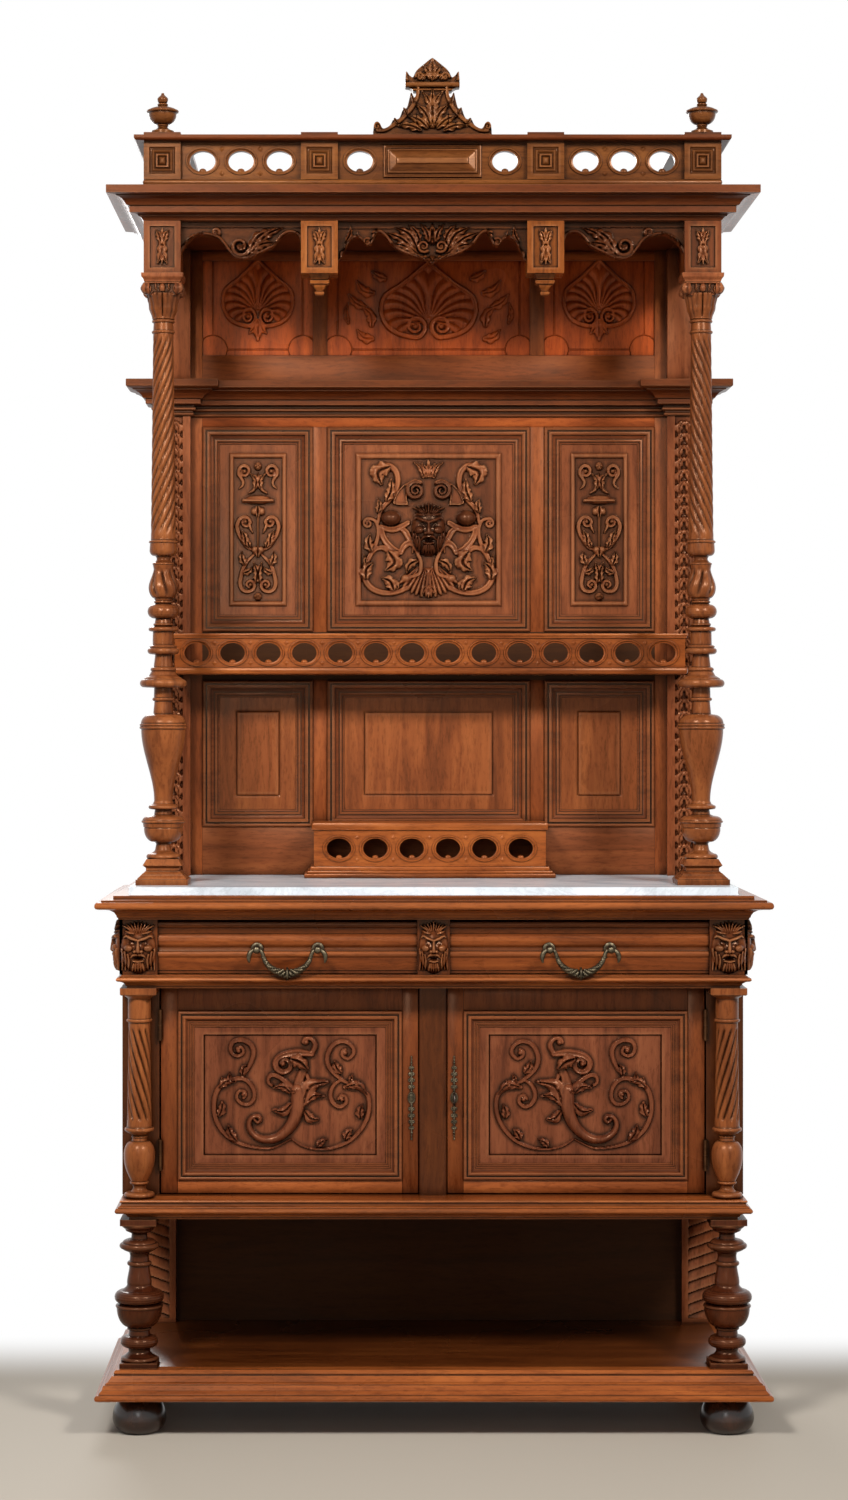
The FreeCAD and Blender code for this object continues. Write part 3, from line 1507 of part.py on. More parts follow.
def make_attic():
    outer = "column_x + block_half"
    base_z = ("attic_level", "attic_base_top")
    wall_z = ("attic_base_top", "attic_cap_level")
    base_front = "block_face - attic_base_lip"
    base_half = f"{outer} + attic_base_lip"
    hole_z = "attic_base_top + attic_panel_height / 2"
    pieces = [box((f"-({base_half})", base_half), (base_front, "attic_back"), base_z)]
    for x in ("-column_x", "-mid_block_x", "mid_block_x", "column_x"):
        pieces.append(box((f"{x} - block_half", f"{x} + block_half"), ("block_face", "attic_back"), wall_z))
    for sign in ("-", ""):
        middle = f"{sign}(column_x + mid_block_x) / 2"
        near = f"{sign}(mid_block_x + block_half)"
        far = f"{sign}(column_x - block_half)"
        span = (far, near) if sign else (near, far)
        holes = hole_row("column_x - mid_block_x - block_width", "attic_hole_pitch", hole_z,
                         "attic_hole_radius", middle)
        pieces.append(fretted_board(span, wall_z, "attic_board", holes, "attic_y"))
    centre_hole_x = "(mid_block_x - block_half - attic_centre_edge)"
    centre_holes = [(x, hole_z, "attic_hole_radius") for x in (f"-{centre_hole_x}", centre_hole_x)]
    pieces.append(fretted_board(("-mid_block_x + block_half", "mid_block_x - block_half"), wall_z,
                                "attic_board", centre_holes, "attic_y"))
    pieces.append(box(("-tablet_half", "tablet_half"), ("attic_board_face - tablet_thickness", "attic_board_face"),
                      ("attic_base_top + tablet_margin", "attic_cap_level - tablet_margin")))
    for side in ("left", "right"):
        pieces.append(box(flank(side, f"{base_half} - attic_block_depth", base_half),
                          ("attic_back", "attic_rear"), base_z))
        pieces.append(attic_return(side, wall_z, hole_z))
    subpart("attic_gallery", pieces)
    cap_steps = [
        ("0", "0"),
        ("attic_cap_reach - attic_cap_step", "0"),
        ("attic_cap_reach", "attic_cap_height / 2", "upright_end"),
        ("attic_cap_reach", "attic_cap_height"),
        ("0", "attic_cap_height"),
    ]
    caps = moulded_frame(cap_steps, "attic_cap_reach", "attic_cap_half", "attic_cap_face", "attic_rear",
                         "attic_cap_level")
    for x in ("-column_x", "-mid_block_x", "mid_block_x", "column_x"):
        caps.append(box((f"{x} - block_half", f"{x} + block_half"), ("block_face", "attic_back"),
                        ("attic_top", "attic_top + cap_block_height")))
    subpart("attic_cap", caps)


def attic_return(side, wall_z, hole_z):
    # The pierced board along one side, behind the corner block
    board = new_body()
    face = new_sketch(board, "YZ_Plane")
    draw_rectangle(face, ("attic_back", "attic_rear"), wall_z)
    for hole in hole_row("attic_rear - attic_back", "attic_hole_pitch", hole_z, "attic_hole_radius",
                         "(attic_back + attic_rear) / 2"):
        draw_circle(face, *hole)
    pad(board, face, "attic_board", symmetric=True)
    place(board, across(side, "column_x + block_half - attic_block_depth / 2"), "0", "0")
    return board


def make_finials():
    subpart("finials", [
        turned("finial", "finial_height", (across(side, "column_x"), "attic_y", "attic_top + cap_block_height"))
        for side in ("left", "right")
    ])


def make_crest():
    board = new_body()
    face = new_sketch(board, "XZ_Plane")
    neck_high = "crest_neck_level + crest_cap"
    flank_steps = [
        ("crest_half", "0"),
        ("crest_half", "crest_base"),
        ("crest_half - crest_base", "crest_shoulder", "upright_start"),
        ("crest_neck_half", "crest_neck_level", "upright_end"),
        ("crest_cap_half", "crest_neck_level"),
        ("crest_cap_half", neck_high),
        ("crest_crown_half", neck_high),
        ("0", "crest_height", "level_end"),
    ]
    mirrored = [
        ("-crest_crown_half", neck_high, "level_start"),
        ("-crest_cap_half", neck_high),
        ("-crest_cap_half", "crest_neck_level"),
        ("-crest_neck_half", "crest_neck_level"),
        ("-crest_half + crest_base", "crest_shoulder", "upright_start"),
        ("-crest_half", "crest_base", "upright_end"),
        ("-crest_half", "0"),
    ]
    draw(face, flank_steps + mirrored)
    pad(board, face, "crest_thickness", symmetric=True)
    place(board, "0", "attic_y", "attic_top")
    subpart("crest", [board])


make_feet()
make_plinth()
make_niche()
make_base_back()
make_floor()
make_front_stiles()
for wing in ("left", "right"):
    make_cupboard_side(wing)
make_twisted_columns()
make_cupboard_shelf()
make_drawer_floor()
make_mask_blocks()
make_top()
make_fixed_hinges()
for wing in ("left", "right"):
    make_door(wing)
    make_drawer(wing)
make_key()
make_upper_columns()
make_wall()
make_pilasters()
make_mid_cornice()
make_plate_shelf()
make_small_gallery()
make_frieze()
make_cornice()
make_attic()
make_finials()
make_crest()

doc.recompute()
faults = [item.Name for item in doc.Objects if {"Invalid", "Error"} & set(item.State)]
for whole in subparts:
    if whole.Shape.isNull() or not whole.Shape.isValid():
        faults.append(whole.Label)
if faults:
    raise SystemExit("not built: " + ", ".join(faults))

os.makedirs("parts", exist_ok=True)
for whole in subparts:
    whole.Shape.exportStep(f"parts/{whole.Label}.step")
print(len(subparts), "sub-parts")
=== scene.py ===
import math

import bmesh
import bpy
import numpy as np
from mathutils import Matrix, Vector


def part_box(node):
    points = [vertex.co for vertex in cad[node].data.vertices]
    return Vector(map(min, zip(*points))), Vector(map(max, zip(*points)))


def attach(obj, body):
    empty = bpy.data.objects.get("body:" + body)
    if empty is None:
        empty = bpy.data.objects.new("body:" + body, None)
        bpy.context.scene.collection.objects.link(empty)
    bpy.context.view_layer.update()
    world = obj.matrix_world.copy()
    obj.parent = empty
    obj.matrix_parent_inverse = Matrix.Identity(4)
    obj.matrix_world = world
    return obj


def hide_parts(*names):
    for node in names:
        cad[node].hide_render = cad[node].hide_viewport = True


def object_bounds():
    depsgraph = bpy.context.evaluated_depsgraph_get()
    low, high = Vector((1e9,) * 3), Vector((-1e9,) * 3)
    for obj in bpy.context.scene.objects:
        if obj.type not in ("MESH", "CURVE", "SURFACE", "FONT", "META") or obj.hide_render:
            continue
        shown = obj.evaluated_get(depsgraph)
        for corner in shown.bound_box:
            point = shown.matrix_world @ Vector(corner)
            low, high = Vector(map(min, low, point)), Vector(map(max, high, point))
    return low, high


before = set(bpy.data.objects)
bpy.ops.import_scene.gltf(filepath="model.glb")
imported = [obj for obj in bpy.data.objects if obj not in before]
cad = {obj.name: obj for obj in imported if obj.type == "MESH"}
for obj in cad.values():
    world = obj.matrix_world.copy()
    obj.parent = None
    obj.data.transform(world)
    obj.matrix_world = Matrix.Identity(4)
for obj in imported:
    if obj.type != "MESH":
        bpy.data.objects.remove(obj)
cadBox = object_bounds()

scene = bpy.context.scene
pi = math.pi
sides = ((-1, "left"), (1, "right"))


# Finishes

walnutLook = {
    "dark": (0.115, 0.026, 0.006), "mid": (0.265, 0.066, 0.014), "light": (0.400, 0.113, 0.024),
    "stops": ((0.28, "dark"), (0.50, "mid"), (0.76, "light")), "figure": 3.2, "pores": 42, "specular": 0.32,
    "sheen": (1.0, 0.56, 0.34, 1), "clouds": [(0.25, (0.70, 0.64, 0.60, 1)), (0.75, (1.12, 1.1, 1.06, 1))],
    # The colour for hollows is painted shade with dirt, worn is rubbed lighter, and the corner colour is
    # painted shade in crevices
    "poreLines": [(0.36, (0.62, 0.56, 0.52, 1)), (0.50, (1, 1, 1, 1))], "shadeAndDirt": (0.012, 0.005, 0.003, 1),
    "worn": (0.46, 0.20, 0.085, 1), "corner": (0.13, 0.09, 0.07, 1),
}


def startMaterial(name):
    material = bpy.data.materials.new(name)
    material.use_nodes = True
    return material, material.node_tree, material.node_tree.nodes["Principled BSDF"]


def setInputs(tree, node, values):
    # A value that is another node's output is linked
    for key, value in values.items():
        if isinstance(value, bpy.types.NodeSocket):
            tree.links.new(value, node.inputs[key])
        else:
            node.inputs[key].default_value = value


def addNode(tree, kind, values=None, **settings):
    node = tree.nodes.new("ShaderNode" + kind)
    for key, value in settings.items():
        setattr(node, key, value)
    setInputs(tree, node, values or {})
    return node


def ramp(tree, source, stops):
    # A stop's colour may be a single grey level
    node = addNode(tree, "ValToRGB", {"Fac": source})
    bar = node.color_ramp.elements
    while len(bar) < len(stops):
        bar.new(0.5)
    for element, (position, colour) in zip(bar, stops):
        element.position = position
        element.color = colour if isinstance(colour, tuple) else (colour, colour, colour, 1)
    return node.outputs["Color"]


def mixColour(tree, blend, factor, first, second):
    sockets = {0: factor, 6: first, 7: second}
    return addNode(tree, "Mix", sockets, data_type="RGBA", blend_type=blend).outputs[2]


def objectMapping(tree, stretch, turn=(0, 0, 0), shift=0.0):
    spot = addNode(tree, "TexCoord").outputs["Object"]
    values = {"Vector": spot, "Scale": stretch, "Rotation": turn, "Location": (shift, shift, shift)}
    return addNode(tree, "Mapping", values).outputs["Vector"]


def noise(tree, vector, scale, detail=4, roughness=0.55, distortion=0.0):
    values = {"Vector": vector, "Scale": scale, "Detail": detail, "Roughness": roughness,
              "Distortion": distortion}
    return addNode(tree, "TexNoise", values).outputs["Fac"]


def addBump(tree, shader, height, strength, distance):
    bump = addNode(tree, "Bump", {"Height": height, "Strength": strength, "Distance": distance})
    setInputs(tree, shader, {"Normal": bump.outputs["Normal"]})


def hollowness(tree):
    # Carved pieces carry how hollow each spot is, below nought where it stands proud
    return addNode(tree, "Attribute", attribute_name="hollow").outputs["Fac"]


def crevices(tree, reach, low, high):
    # Ambient occlusion finds crevices, which the callers paint darker as shade
    node = addNode(tree, "AmbientOcclusion", {"Distance": reach}, samples=6)
    return ramp(tree, node.outputs["AO"], [(low, 0), (high, 1)])


def makeWalnut(name, grain, tone=1.0, shift=0.0, tint=(1, 1, 1), rough=(0.22, 0.34)):
    look = walnutLook
    material, tree, shader = startMaterial(name)
    across = [axis != grain for axis in "xyz"]
    figureSpot = objectMapping(tree, [9 if far else 1 for far in across], shift=shift)
    figure = noise(tree, figureSpot, look["figure"], 6, 0.6, 0.9)
    wood = ramp(tree, figure, [(spot, tuple(c * tone * t for c, t in zip(look[key], tint)) + (1,))
                               for spot, key in look["stops"]])
    cloud = noise(tree, objectMapping(tree, (1, 1, 1)), 3.0, 2)
    wood = mixColour(tree, "MULTIPLY", 1.0, wood, ramp(tree, cloud, look["clouds"]))
    pores = noise(tree, objectMapping(tree, [5 if far else 1 for far in across]), look["pores"], 3, 0.7)
    wood = mixColour(tree, "MULTIPLY", 0.75, wood, ramp(tree, pores, look["poreLines"]))
    # Proud spots are rubbed lighter; hollows are painted darker as shade with dirt, and crevices found by
    # ambient occlusion get painted shade
    cut = hollowness(tree)
    proud = addNode(tree, "Math", {0: cut, 1: -0.45}, operation="MULTIPLY", use_clamp=True)
    wood = mixColour(tree, "MIX", proud.outputs["Value"], wood, look["worn"])
    wood = mixColour(tree, "MIX", cut, wood, look["shadeAndDirt"])
    dim = mixColour(tree, "MULTIPLY", 1.0, wood, look["corner"])
    wood = mixColour(tree, "MIX", crevices(tree, 0.024, 0.30, 0.86), dim, wood)
    gloss = ramp(tree, cloud, [(0.3, rough[0]), (0.7, rough[1])])
    setInputs(tree, shader, {"Base Color": wood, "Roughness": gloss, "Specular Tint": look["sheen"],
                             "Specular IOR Level": look["specular"]})
    addBump(tree, shader, pores, 0.12, 0.0006)
    return material


def makeEbonised(name):
    material, tree, shader = startMaterial(name)
    wear = noise(tree, objectMapping(tree, (6, 6, 2)), 5, 5, 0.6)
    black = ramp(tree, wear, [(0.35, (0.012, 0.005, 0.003, 1)), (0.75, (0.046, 0.017, 0.008, 1))])
    setInputs(tree, shader, {"Base Color": black, "Roughness": 0.24})
    addBump(tree, shader, wear, 0.1, 0.0008)
    return material


def makeMarble(name):
    material, tree, shader = startMaterial(name)
    drift = noise(tree, objectMapping(tree, (1, 1.6, 1), (0, 0, 0.5)), 2.6, 7, 0.62, 1.6)
    stone = ramp(tree, drift, [(0.34, (0.52, 0.58, 0.62, 1)), (0.47, (0.68, 0.75, 0.79, 1)),
                               (0.60, (0.76, 0.825, 0.865, 1))])
    vein = noise(tree, objectMapping(tree, (1, 2.2, 1), (0, 0, 0.7)), 3.4, 8, 0.7, 2.6)
    lines = ramp(tree, vein, [(0.470, 1), (0.497, 0.72), (0.525, 1)])
    setInputs(tree, shader, {"Base Color": mixColour(tree, "MULTIPLY", 0.5, stone, lines),
                             "Roughness": 0.22})
    return material


def makeMetal(name, bright, dull):
    material, tree, shader = startMaterial(name)
    spots = noise(tree, objectMapping(tree, (1, 1, 1)), 90, 5, 0.65)
    tint = ramp(tree, spots, [(0.34, dull), (0.66, bright)])
    # Hollows and crevices are painted darker as shade
    tint = mixColour(tree, "MIX", hollowness(tree), tint, (0.012, 0.009, 0.006, 1))
    tint = mixColour(tree, "MIX", crevices(tree, 0.008, 0.25, 0.85), (0.015, 0.011, 0.007, 1), tint)
    worn = ramp(tree, spots, [(0.3, 0.52), (0.7, 0.32)])
    setInputs(tree, shader, {"Base Color": tint, "Metallic": 1.0, "Roughness": worn})
    addBump(tree, shader, spots, 0.15, 0.0004)
    return material


# Grain, tone, shift of the figure, tint and roughness
walnutX = makeWalnut("walnutAlongX", "x")
walnutY = makeWalnut("walnutAlongY", "y")
walnutZ = makeWalnut("walnutAlongZ", "z")
walnutRun = makeWalnut("walnutMoulding", "x", 0.58, 0.4, (1, 0.92, 1.2))
# The upper mouldings take a darker, redder copy: painted shade for light falling off towards the top, with
# a redder tone of their own
walnutShadedUpper = makeWalnut("walnutShadedUpper", "x", 0.42, 0.5, (1, 0.80, 0.7), (0.32, 0.45))
walnutDrawer = makeWalnut("walnutDrawer", "x", 0.74, 0.8, (1, 0.96, 1))
walnutTurned = makeWalnut("walnutTurned", "z", 0.88, 0.3, (0.95, 1.09, 1.45))
walnutCarved = makeWalnut("walnutCarved", "z", 0.86, 0.7, (1, 1.12, 1.9))
walnutApron = makeWalnut("walnutApron", "x", 0.42, 0.7, (1, 1.05, 1.4), (0.16, 0.26))
walnutShell = makeWalnut("walnutShell", "z", 1.65, 0.6, (1.12, 0.74, 0.58))
# Darker copy: painted shade on the door stiles beside the columns and on the door head rails; the outer
# frieze blocks take it as their tone
walnutStile = makeWalnut("walnutStile", "z", 0.57, 0.1, (1, 0.96, 1.2))
# Much darker copy for the front stiles: painted shade behind the columns
walnutRecessShade = makeWalnut("walnutRecessShade", "z", 0.30, 0.1, (1, 1.0, 1.2))
# Lighter copy for the door foot rails: painted light
walnutPaintedLight = makeWalnut("walnutPaintedLight", "x", 1.35, 0.2, (1, 1.08, 1.3))
walnutCanopy = makeWalnut("walnutCanopy", "x", 0.75, 1.0, (1, 0.88, 0.85), (0.42, 0.55))
walnutAttic = makeWalnut("walnutAttic", "x", 0.70, 0.9, (0.92, 1.14, 1.2))
walnutMask = makeWalnut("walnutMask", "z", 0.52, 1.1, (1, 0.95, 1), (0.16, 0.28))
walnutDark = makeWalnut("walnutDark", "z", 0.22, 0.5, (1, 0.88, 1.4), (0.18, 0.30))
walnutPlain = makeWalnut("walnutPlain", "z", 0.86, 0.0, (0.97, 1.04, 1.4))
walnutWall = makeWalnut("walnutWall", "x", 0.78, 1.4, (0.95, 1.02, 1.5), (0.38, 0.5))
walnutHoney = makeWalnut("walnutHoney", "z", 0.95, 0.9, (1, 1.1, 0.95))
walnutInside = makeWalnut("walnutInside", "x", 0.6, 1.6)
# Near black copy for the niche back and the shelf wall: painted shade
walnutPaintedShade = makeWalnut("walnutPaintedShade", "x", 0.10, 1.9, (1, 1.1, 1.2), (0.6, 0.75))
# Dark copy for the run boards: painted shade of the niche shelf, partly dirt
walnutShadedShelf = makeWalnut("walnutShadedShelf", "x", 0.30, 1.3)
walnutRail = makeWalnut("walnutRail", "x", 1.25, 1.0, (1, 0.84, 0.8), (0.42, 0.55))
walnutUpright = makeWalnut("walnutUpright", "z", 0.92, 1.2, (1, 0.98, 1.2), (0.38, 0.5))
walnutDoor = makeWalnut("walnutDoor", "z", 0.60, 0.2, (1, 1.14, 2.3))
ebonised = makeEbonised("ebonisedFeet")
marble = makeMarble("whiteMarble")
brass = makeMetal("antiqueBrass", (0.15, 0.118, 0.072, 1), (0.032, 0.025, 0.016, 1))
steel = makeMetal("darkSteel", (0.07, 0.055, 0.045, 1), (0.03, 0.024, 0.02, 1))
hingeIron = makeMetal("hingeIron", (0.095, 0.040, 0.016, 1), (0.040, 0.017, 0.008, 1))

# A star stands for left and right
cadFinish = {
    walnutX: ["plinth", "cupboard_floor", "drawer_floor", "top_frame", "panel_mouldings", "door_*_moulding",
        "drawer_*_front"],
    walnutShadedUpper: ["mid_cornice", "cornice", "attic_cap", "canopy_board"], walnutPaintedShade: ["base_back_panels"],
    walnutY: ["side_aprons"], walnutRecessShade: ["front_stiles"],
    walnutZ: ["niche_pilasters", "cupboard_side_*", "upper_back_frame", "plain_back_panels",
        "door_*_frame"],
    walnutTurned: ["base_columns", "lower_balusters", "upper_columns", "finials"],
    walnutCarved: ["carved_back_panels", "shell_panels", "upper_pilasters", "frieze_blocks", "front_aprons",
        "crest", "attic_gallery", "door_*_panel", "plate_shelf", "small_gallery"],
    walnutMask: ["mask_blocks"], walnutInside: ["cupboard_shelf", "drawer_guides", "drawer_*_box"],
    ebonised: ["bun_feet"], marble: ["marble_slabs"],
    brass: ["door_*_escutcheon", "drawer_*_bail", "drawer_*_handle_posts"],
    steel: ["door_key", "door_*_lock_bolt", "door_*_lock_case"],
    hingeIron: ["door_*_hinge_leaves", "stile_hinge_leaves"],
}
for finish, nodeNames in cadFinish.items():
    for nodeName in {name.replace("*", side) for name in nodeNames for hand, side in sides}:
        cad[nodeName].data.materials.clear()
        cad[nodeName].data.materials.append(finish)
print("finishes:", len(cadFinish), "on the solids")


# Mesh helpers, in millimetres until a piece is finished

def finishPiece(name, bm, material, nodes=(), body="carcass", sharp=38):
    bmesh.ops.remove_doubles(bm, verts=bm.verts[:], dist=0.002)
    bmesh.ops.recalc_face_normals(bm, faces=bm.faces[:])
    bmesh.ops.scale(bm, vec=(0.001, 0.001, 0.001), verts=bm.verts[:])
    mesh = bpy.data.meshes.new(name)
    bm.to_mesh(mesh)
    bm.free()
    mesh.shade_smooth()
    mesh.set_sharp_from_angle(angle=math.radians(sharp))
    mesh.materials.append(material)
    piece = bpy.data.objects.new(name, mesh)
    scene.collection.objects.link(piece)
    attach(piece, body)
    if nodes:
        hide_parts(*nodes)


def addInto(target, source, place=(0, 0, 0), turn=0.0, flip=False):
    # Turned about Z, mirrored left to right if asked, then moved into place
    bmesh.ops.transform(source, matrix=Matrix.Translation(place) @ Matrix.Rotation(turn, 4, "Z")
                        @ Matrix.Diagonal((-1 if flip else 1, 1, 1, 1)), verts=source.verts[:])
    if flip:
        bmesh.ops.reverse_faces(source, faces=source.faces[:])
    mesh = bpy.data.meshes.new("passing")
    source.to_mesh(mesh)
    source.free()
    target.from_mesh(mesh)
    bpy.data.meshes.remove(mesh)


def addBoard(bm, x, y, z, edge=1.2):
    cube = bmesh.ops.create_cube(bm, size=1)
    verts = cube["verts"]
    bmesh.ops.scale(bm, vec=(x[1] - x[0], y[1] - y[0], z[1] - z[0]), verts=verts)
    bmesh.ops.translate(bm, vec=((x[0] + x[1]) / 2, (y[0] + y[1]) / 2, (z[0] + z[1]) / 2), verts=verts)
    if edge:
        edges = list({e for v in verts for e in v.link_edges})
        bmesh.ops.bevel(bm, geom=edges, offset=edge, segments=2, profile=0.5, affect="EDGES", material=-1)


def turnAbout(bm, axis, angle=pi / 2):
    bmesh.ops.rotate(bm, cent=(0, 0, 0), matrix=Matrix.Rotation(angle, 3, axis), verts=bm.verts[:])


def vertsIn(items):
    return [item for item in items if isinstance(item, bmesh.types.BMVert)]


def hollowLayer(bm):
    layer = bm.verts.layers.float.get("hollow")
    return bm.verts.layers.float.new("hollow") if layer is None else layer


def markVert(bm, spot, dark):
    vert = bm.verts.new(spot)
    vert[hollowLayer(bm)] = dark
    return vert


def shadedWornProfile(points, turn=1):
    # Inner corners of a profile are painted darker as shade with dirt and outer ones are rubbed, both close
    # to the corner only
    marked, bends, near = [], [], 1.5
    for before, spot, after in zip(points[-1:] + points, points, points[1:] + points[:1]):
        first = math.atan2(spot[1] - before[1], spot[0] - before[0])
        second = math.atan2(after[1] - spot[1], after[0] - spot[0])
        bends.append(turn * math.remainder(second - first, 2 * pi))
    for bend, nextBend, spot, after in zip(bends, bends[1:], points, points[1:]):
        marked.append((*spot, max(-0.6, min(0.9, bend * (-0.9 if bend < 0 else -0.4)))))
        reach = math.dist(spot, after)
        if reach > 4:
            for share, corner in ((near / reach, bend), (1 - near / reach, nextBend)):
                if abs(corner) > 0.2:
                    marked.append((*(a + (b - a) * share for a, b in zip(spot, after)), 0.0))
    return marked + [(*points[-1], 0.0)]


curveSteps = {
    "line": 1, "bead": 8, "cove": 8, "swell": 9, "shoulder": 9, "ogee": 10, "shaft": 70, "belly": 20,
    "round": 10,
}


def profileRows(rows):
    # Each row says how the tool moves, how far up, and the radius it ends on
    points = [(rows[0][2], 0.0)]
    for shape, height, radius in rows[1:]:
        (r0, z0), steps = points[-1], curveSteps[shape]
        for step in range(1, steps + 1):
            t = step / steps
            r, z = r0 + (radius - r0) * t, z0 + height * t
            if shape == "bead":
                r, z = r + height / 2 * math.sin(pi * t), z0 + height * (1 - math.cos(pi * t)) / 2
            elif shape == "cove":
                r -= height * 0.28 * math.sin(pi * t)
            elif shape == "swell":
                r, z = r0 + (radius - r0) * math.sin(pi * t / 2), z0 + height * (1 - math.cos(pi * t / 2))
            elif shape == "shoulder":
                r, z = r0 + (radius - r0) * (1 - math.cos(pi * t / 2)), z0 + height * math.sin(pi * t / 2)
            elif shape == "round":
                r = r0 + (radius - r0) * math.sin(pi * t / 2)
            elif shape in ("ogee", "belly"):
                r = r0 + (radius - r0) * (3 * t * t - 2 * t ** 3)
            points.append((r, z))
    return points


def turnOnLathe(rows, segments=48, square=False, carve=None):
    bm = bmesh.new()
    layer = hollowLayer(bm)
    corner = math.sqrt(2) if square else 1
    points = profileRows(rows)
    points = shadedWornProfile([(0, points[0][1])] + points + [(0, points[-1][1])])
    chain = [markVert(bm, (r * corner, 0, z), dark) for r, z, dark in points]
    edges = [bm.edges.new(pair) for pair in zip(chain, chain[1:])]
    bmesh.ops.spin(bm, geom=chain + edges, axis=(0, 0, 1), cent=(0, 0, 0), angle=2 * pi,
                   steps=4 if square else segments, use_merge=True)
    bmesh.ops.remove_doubles(bm, verts=bm.verts[:], dist=0.002)
    if square:
        turnAbout(bm, "Z", pi / 4)
    if carve:
        for vert in bm.verts:
            radius = math.hypot(vert.co.x, vert.co.y)
            if radius > 1:
                push = carve(math.atan2(vert.co.y, vert.co.x), vert.co.z, radius)
                vert.co.x *= 1 + push / radius
                vert.co.y *= 1 + push / radius
                # Carved grooves are painted darker, as shade with dirt
                vert[layer] += max(0.0, min(0.8, -0.16 * push))
    bmesh.ops.recalc_face_normals(bm, faces=bm.faces[:])
    return bm


def fadeBetween(z, low, high, soft):
    return max(0.0, min(1.0, (z - low) / soft, (high - z) / soft))


def twistedFlutes(low, high, count, pitch, depth, hand):
    def carve(angle, z, radius):
        fade = fadeBetween(z, low, high, 7)
        groove = 1 - abs(math.sin((count * angle - hand * count * 2 * pi * (z - low) / pitch) / 2))
        return -depth * fade * groove ** 1.6
    return carve


def standing(axis):
    return [(hand, axis[0] * hand, axis[1]) for hand in (-1, 1)]


def rowLevels(rows):
    level, levels = 0.0, []
    for shape, height, radius in rows:
        level += height
        levels.append(level)
    return levels


# Turned posts

baseTwist = {
    "rows": [("line", 0, 24), ("bead", 11, 24), ("line", 1, 18), ("cove", 14, 14.5), ("bead", 6, 16),
        ("round", 46, 30), ("line", 6, 30), ("shoulder", 26, 15), ("line", 6, 13.5), ("bead", 4, 13.5),
        ("ogee", 8, 24), ("bead", 8, 25), ("line", 2, 24), ("shaft", 201, 20.7), ("bead", 7, 22),
        ("line", 2, 22), ("line", 36, 22), ("ogee", 9, 31)],
    "shaft": (149, 329), "count": 9, "pitch": 376, "depth": 5.6, "axis": (568, -195), "foot": 452,
}


def makeBaseColumns():
    look, bm = baseTwist, bmesh.new()
    foot = look["foot"]
    shoulder = foot + rowLevels(look["rows"])[-1]
    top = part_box("base_columns")[1].z * 1000
    head = [("line", 0, 33), ("line", 2, 35), ("line", top - shoulder - 2, 35)]
    for hand, x, y in standing(look["axis"]):
        carve = twistedFlutes(*look["shaft"], look["count"], look["pitch"], look["depth"], hand)
        addInto(bm, turnOnLathe(look["rows"], 108, carve=carve), (x, y, foot))
        addInto(bm, turnOnLathe(head, square=True), (x, y, shoulder))
    finishPiece("baseColumns", bm, walnutTurned, ["base_columns"])


nicheBaluster = {
    "rows": [("line", 0, 33), ("bead", 8, 31), ("cove", 16, 22), ("line", 2, 26), ("bead", 22, 25),
        ("line", 1, 21), ("line", 10, 20), ("bead", 6, 21), ("swell", 38, 44), ("bead", 6, 42),
        ("line", 3, 38), ("bead", 24, 34), ("cove", 14, 24), ("ogee", 33, 19.5), ("bead", 9, 19),
        ("line", 10, 18), ("line", 5, 19), ("ogee", 9, 33), ("bead", 11, 33), ("shoulder", 8, 16),
        ("line", 9, 15), ("ogee", 8, 27), ("ogee", 9, 35), ("line", 3, 35)],
    "axis": (568, -195), "block": (36, 10), "head": 35,
}


def makeBalusters():
    look, bm = nicheBaluster, bmesh.new()
    base, top = (corner.z * 1000 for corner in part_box("lower_balusters"))
    half, rise = look["block"]
    shoulder = base + rise + rowLevels(look["rows"])[-1]
    block = [("line", 0, half), ("line", rise - 1, half), ("line", 1, half - 1)]
    head = [("line", 0, look["head"]), ("line", top - shoulder, look["head"])]
    for hand, x, y in standing(look["axis"]):
        addInto(bm, turnOnLathe(block, square=True), (x, y, base))
        addInto(bm, turnOnLathe(look["rows"], 64), (x, y, base + rise))
        addInto(bm, turnOnLathe(head, square=True), (x, y, shoulder))
    finishPiece("nicheBalusters", bm, walnutDark, ["lower_balusters"])


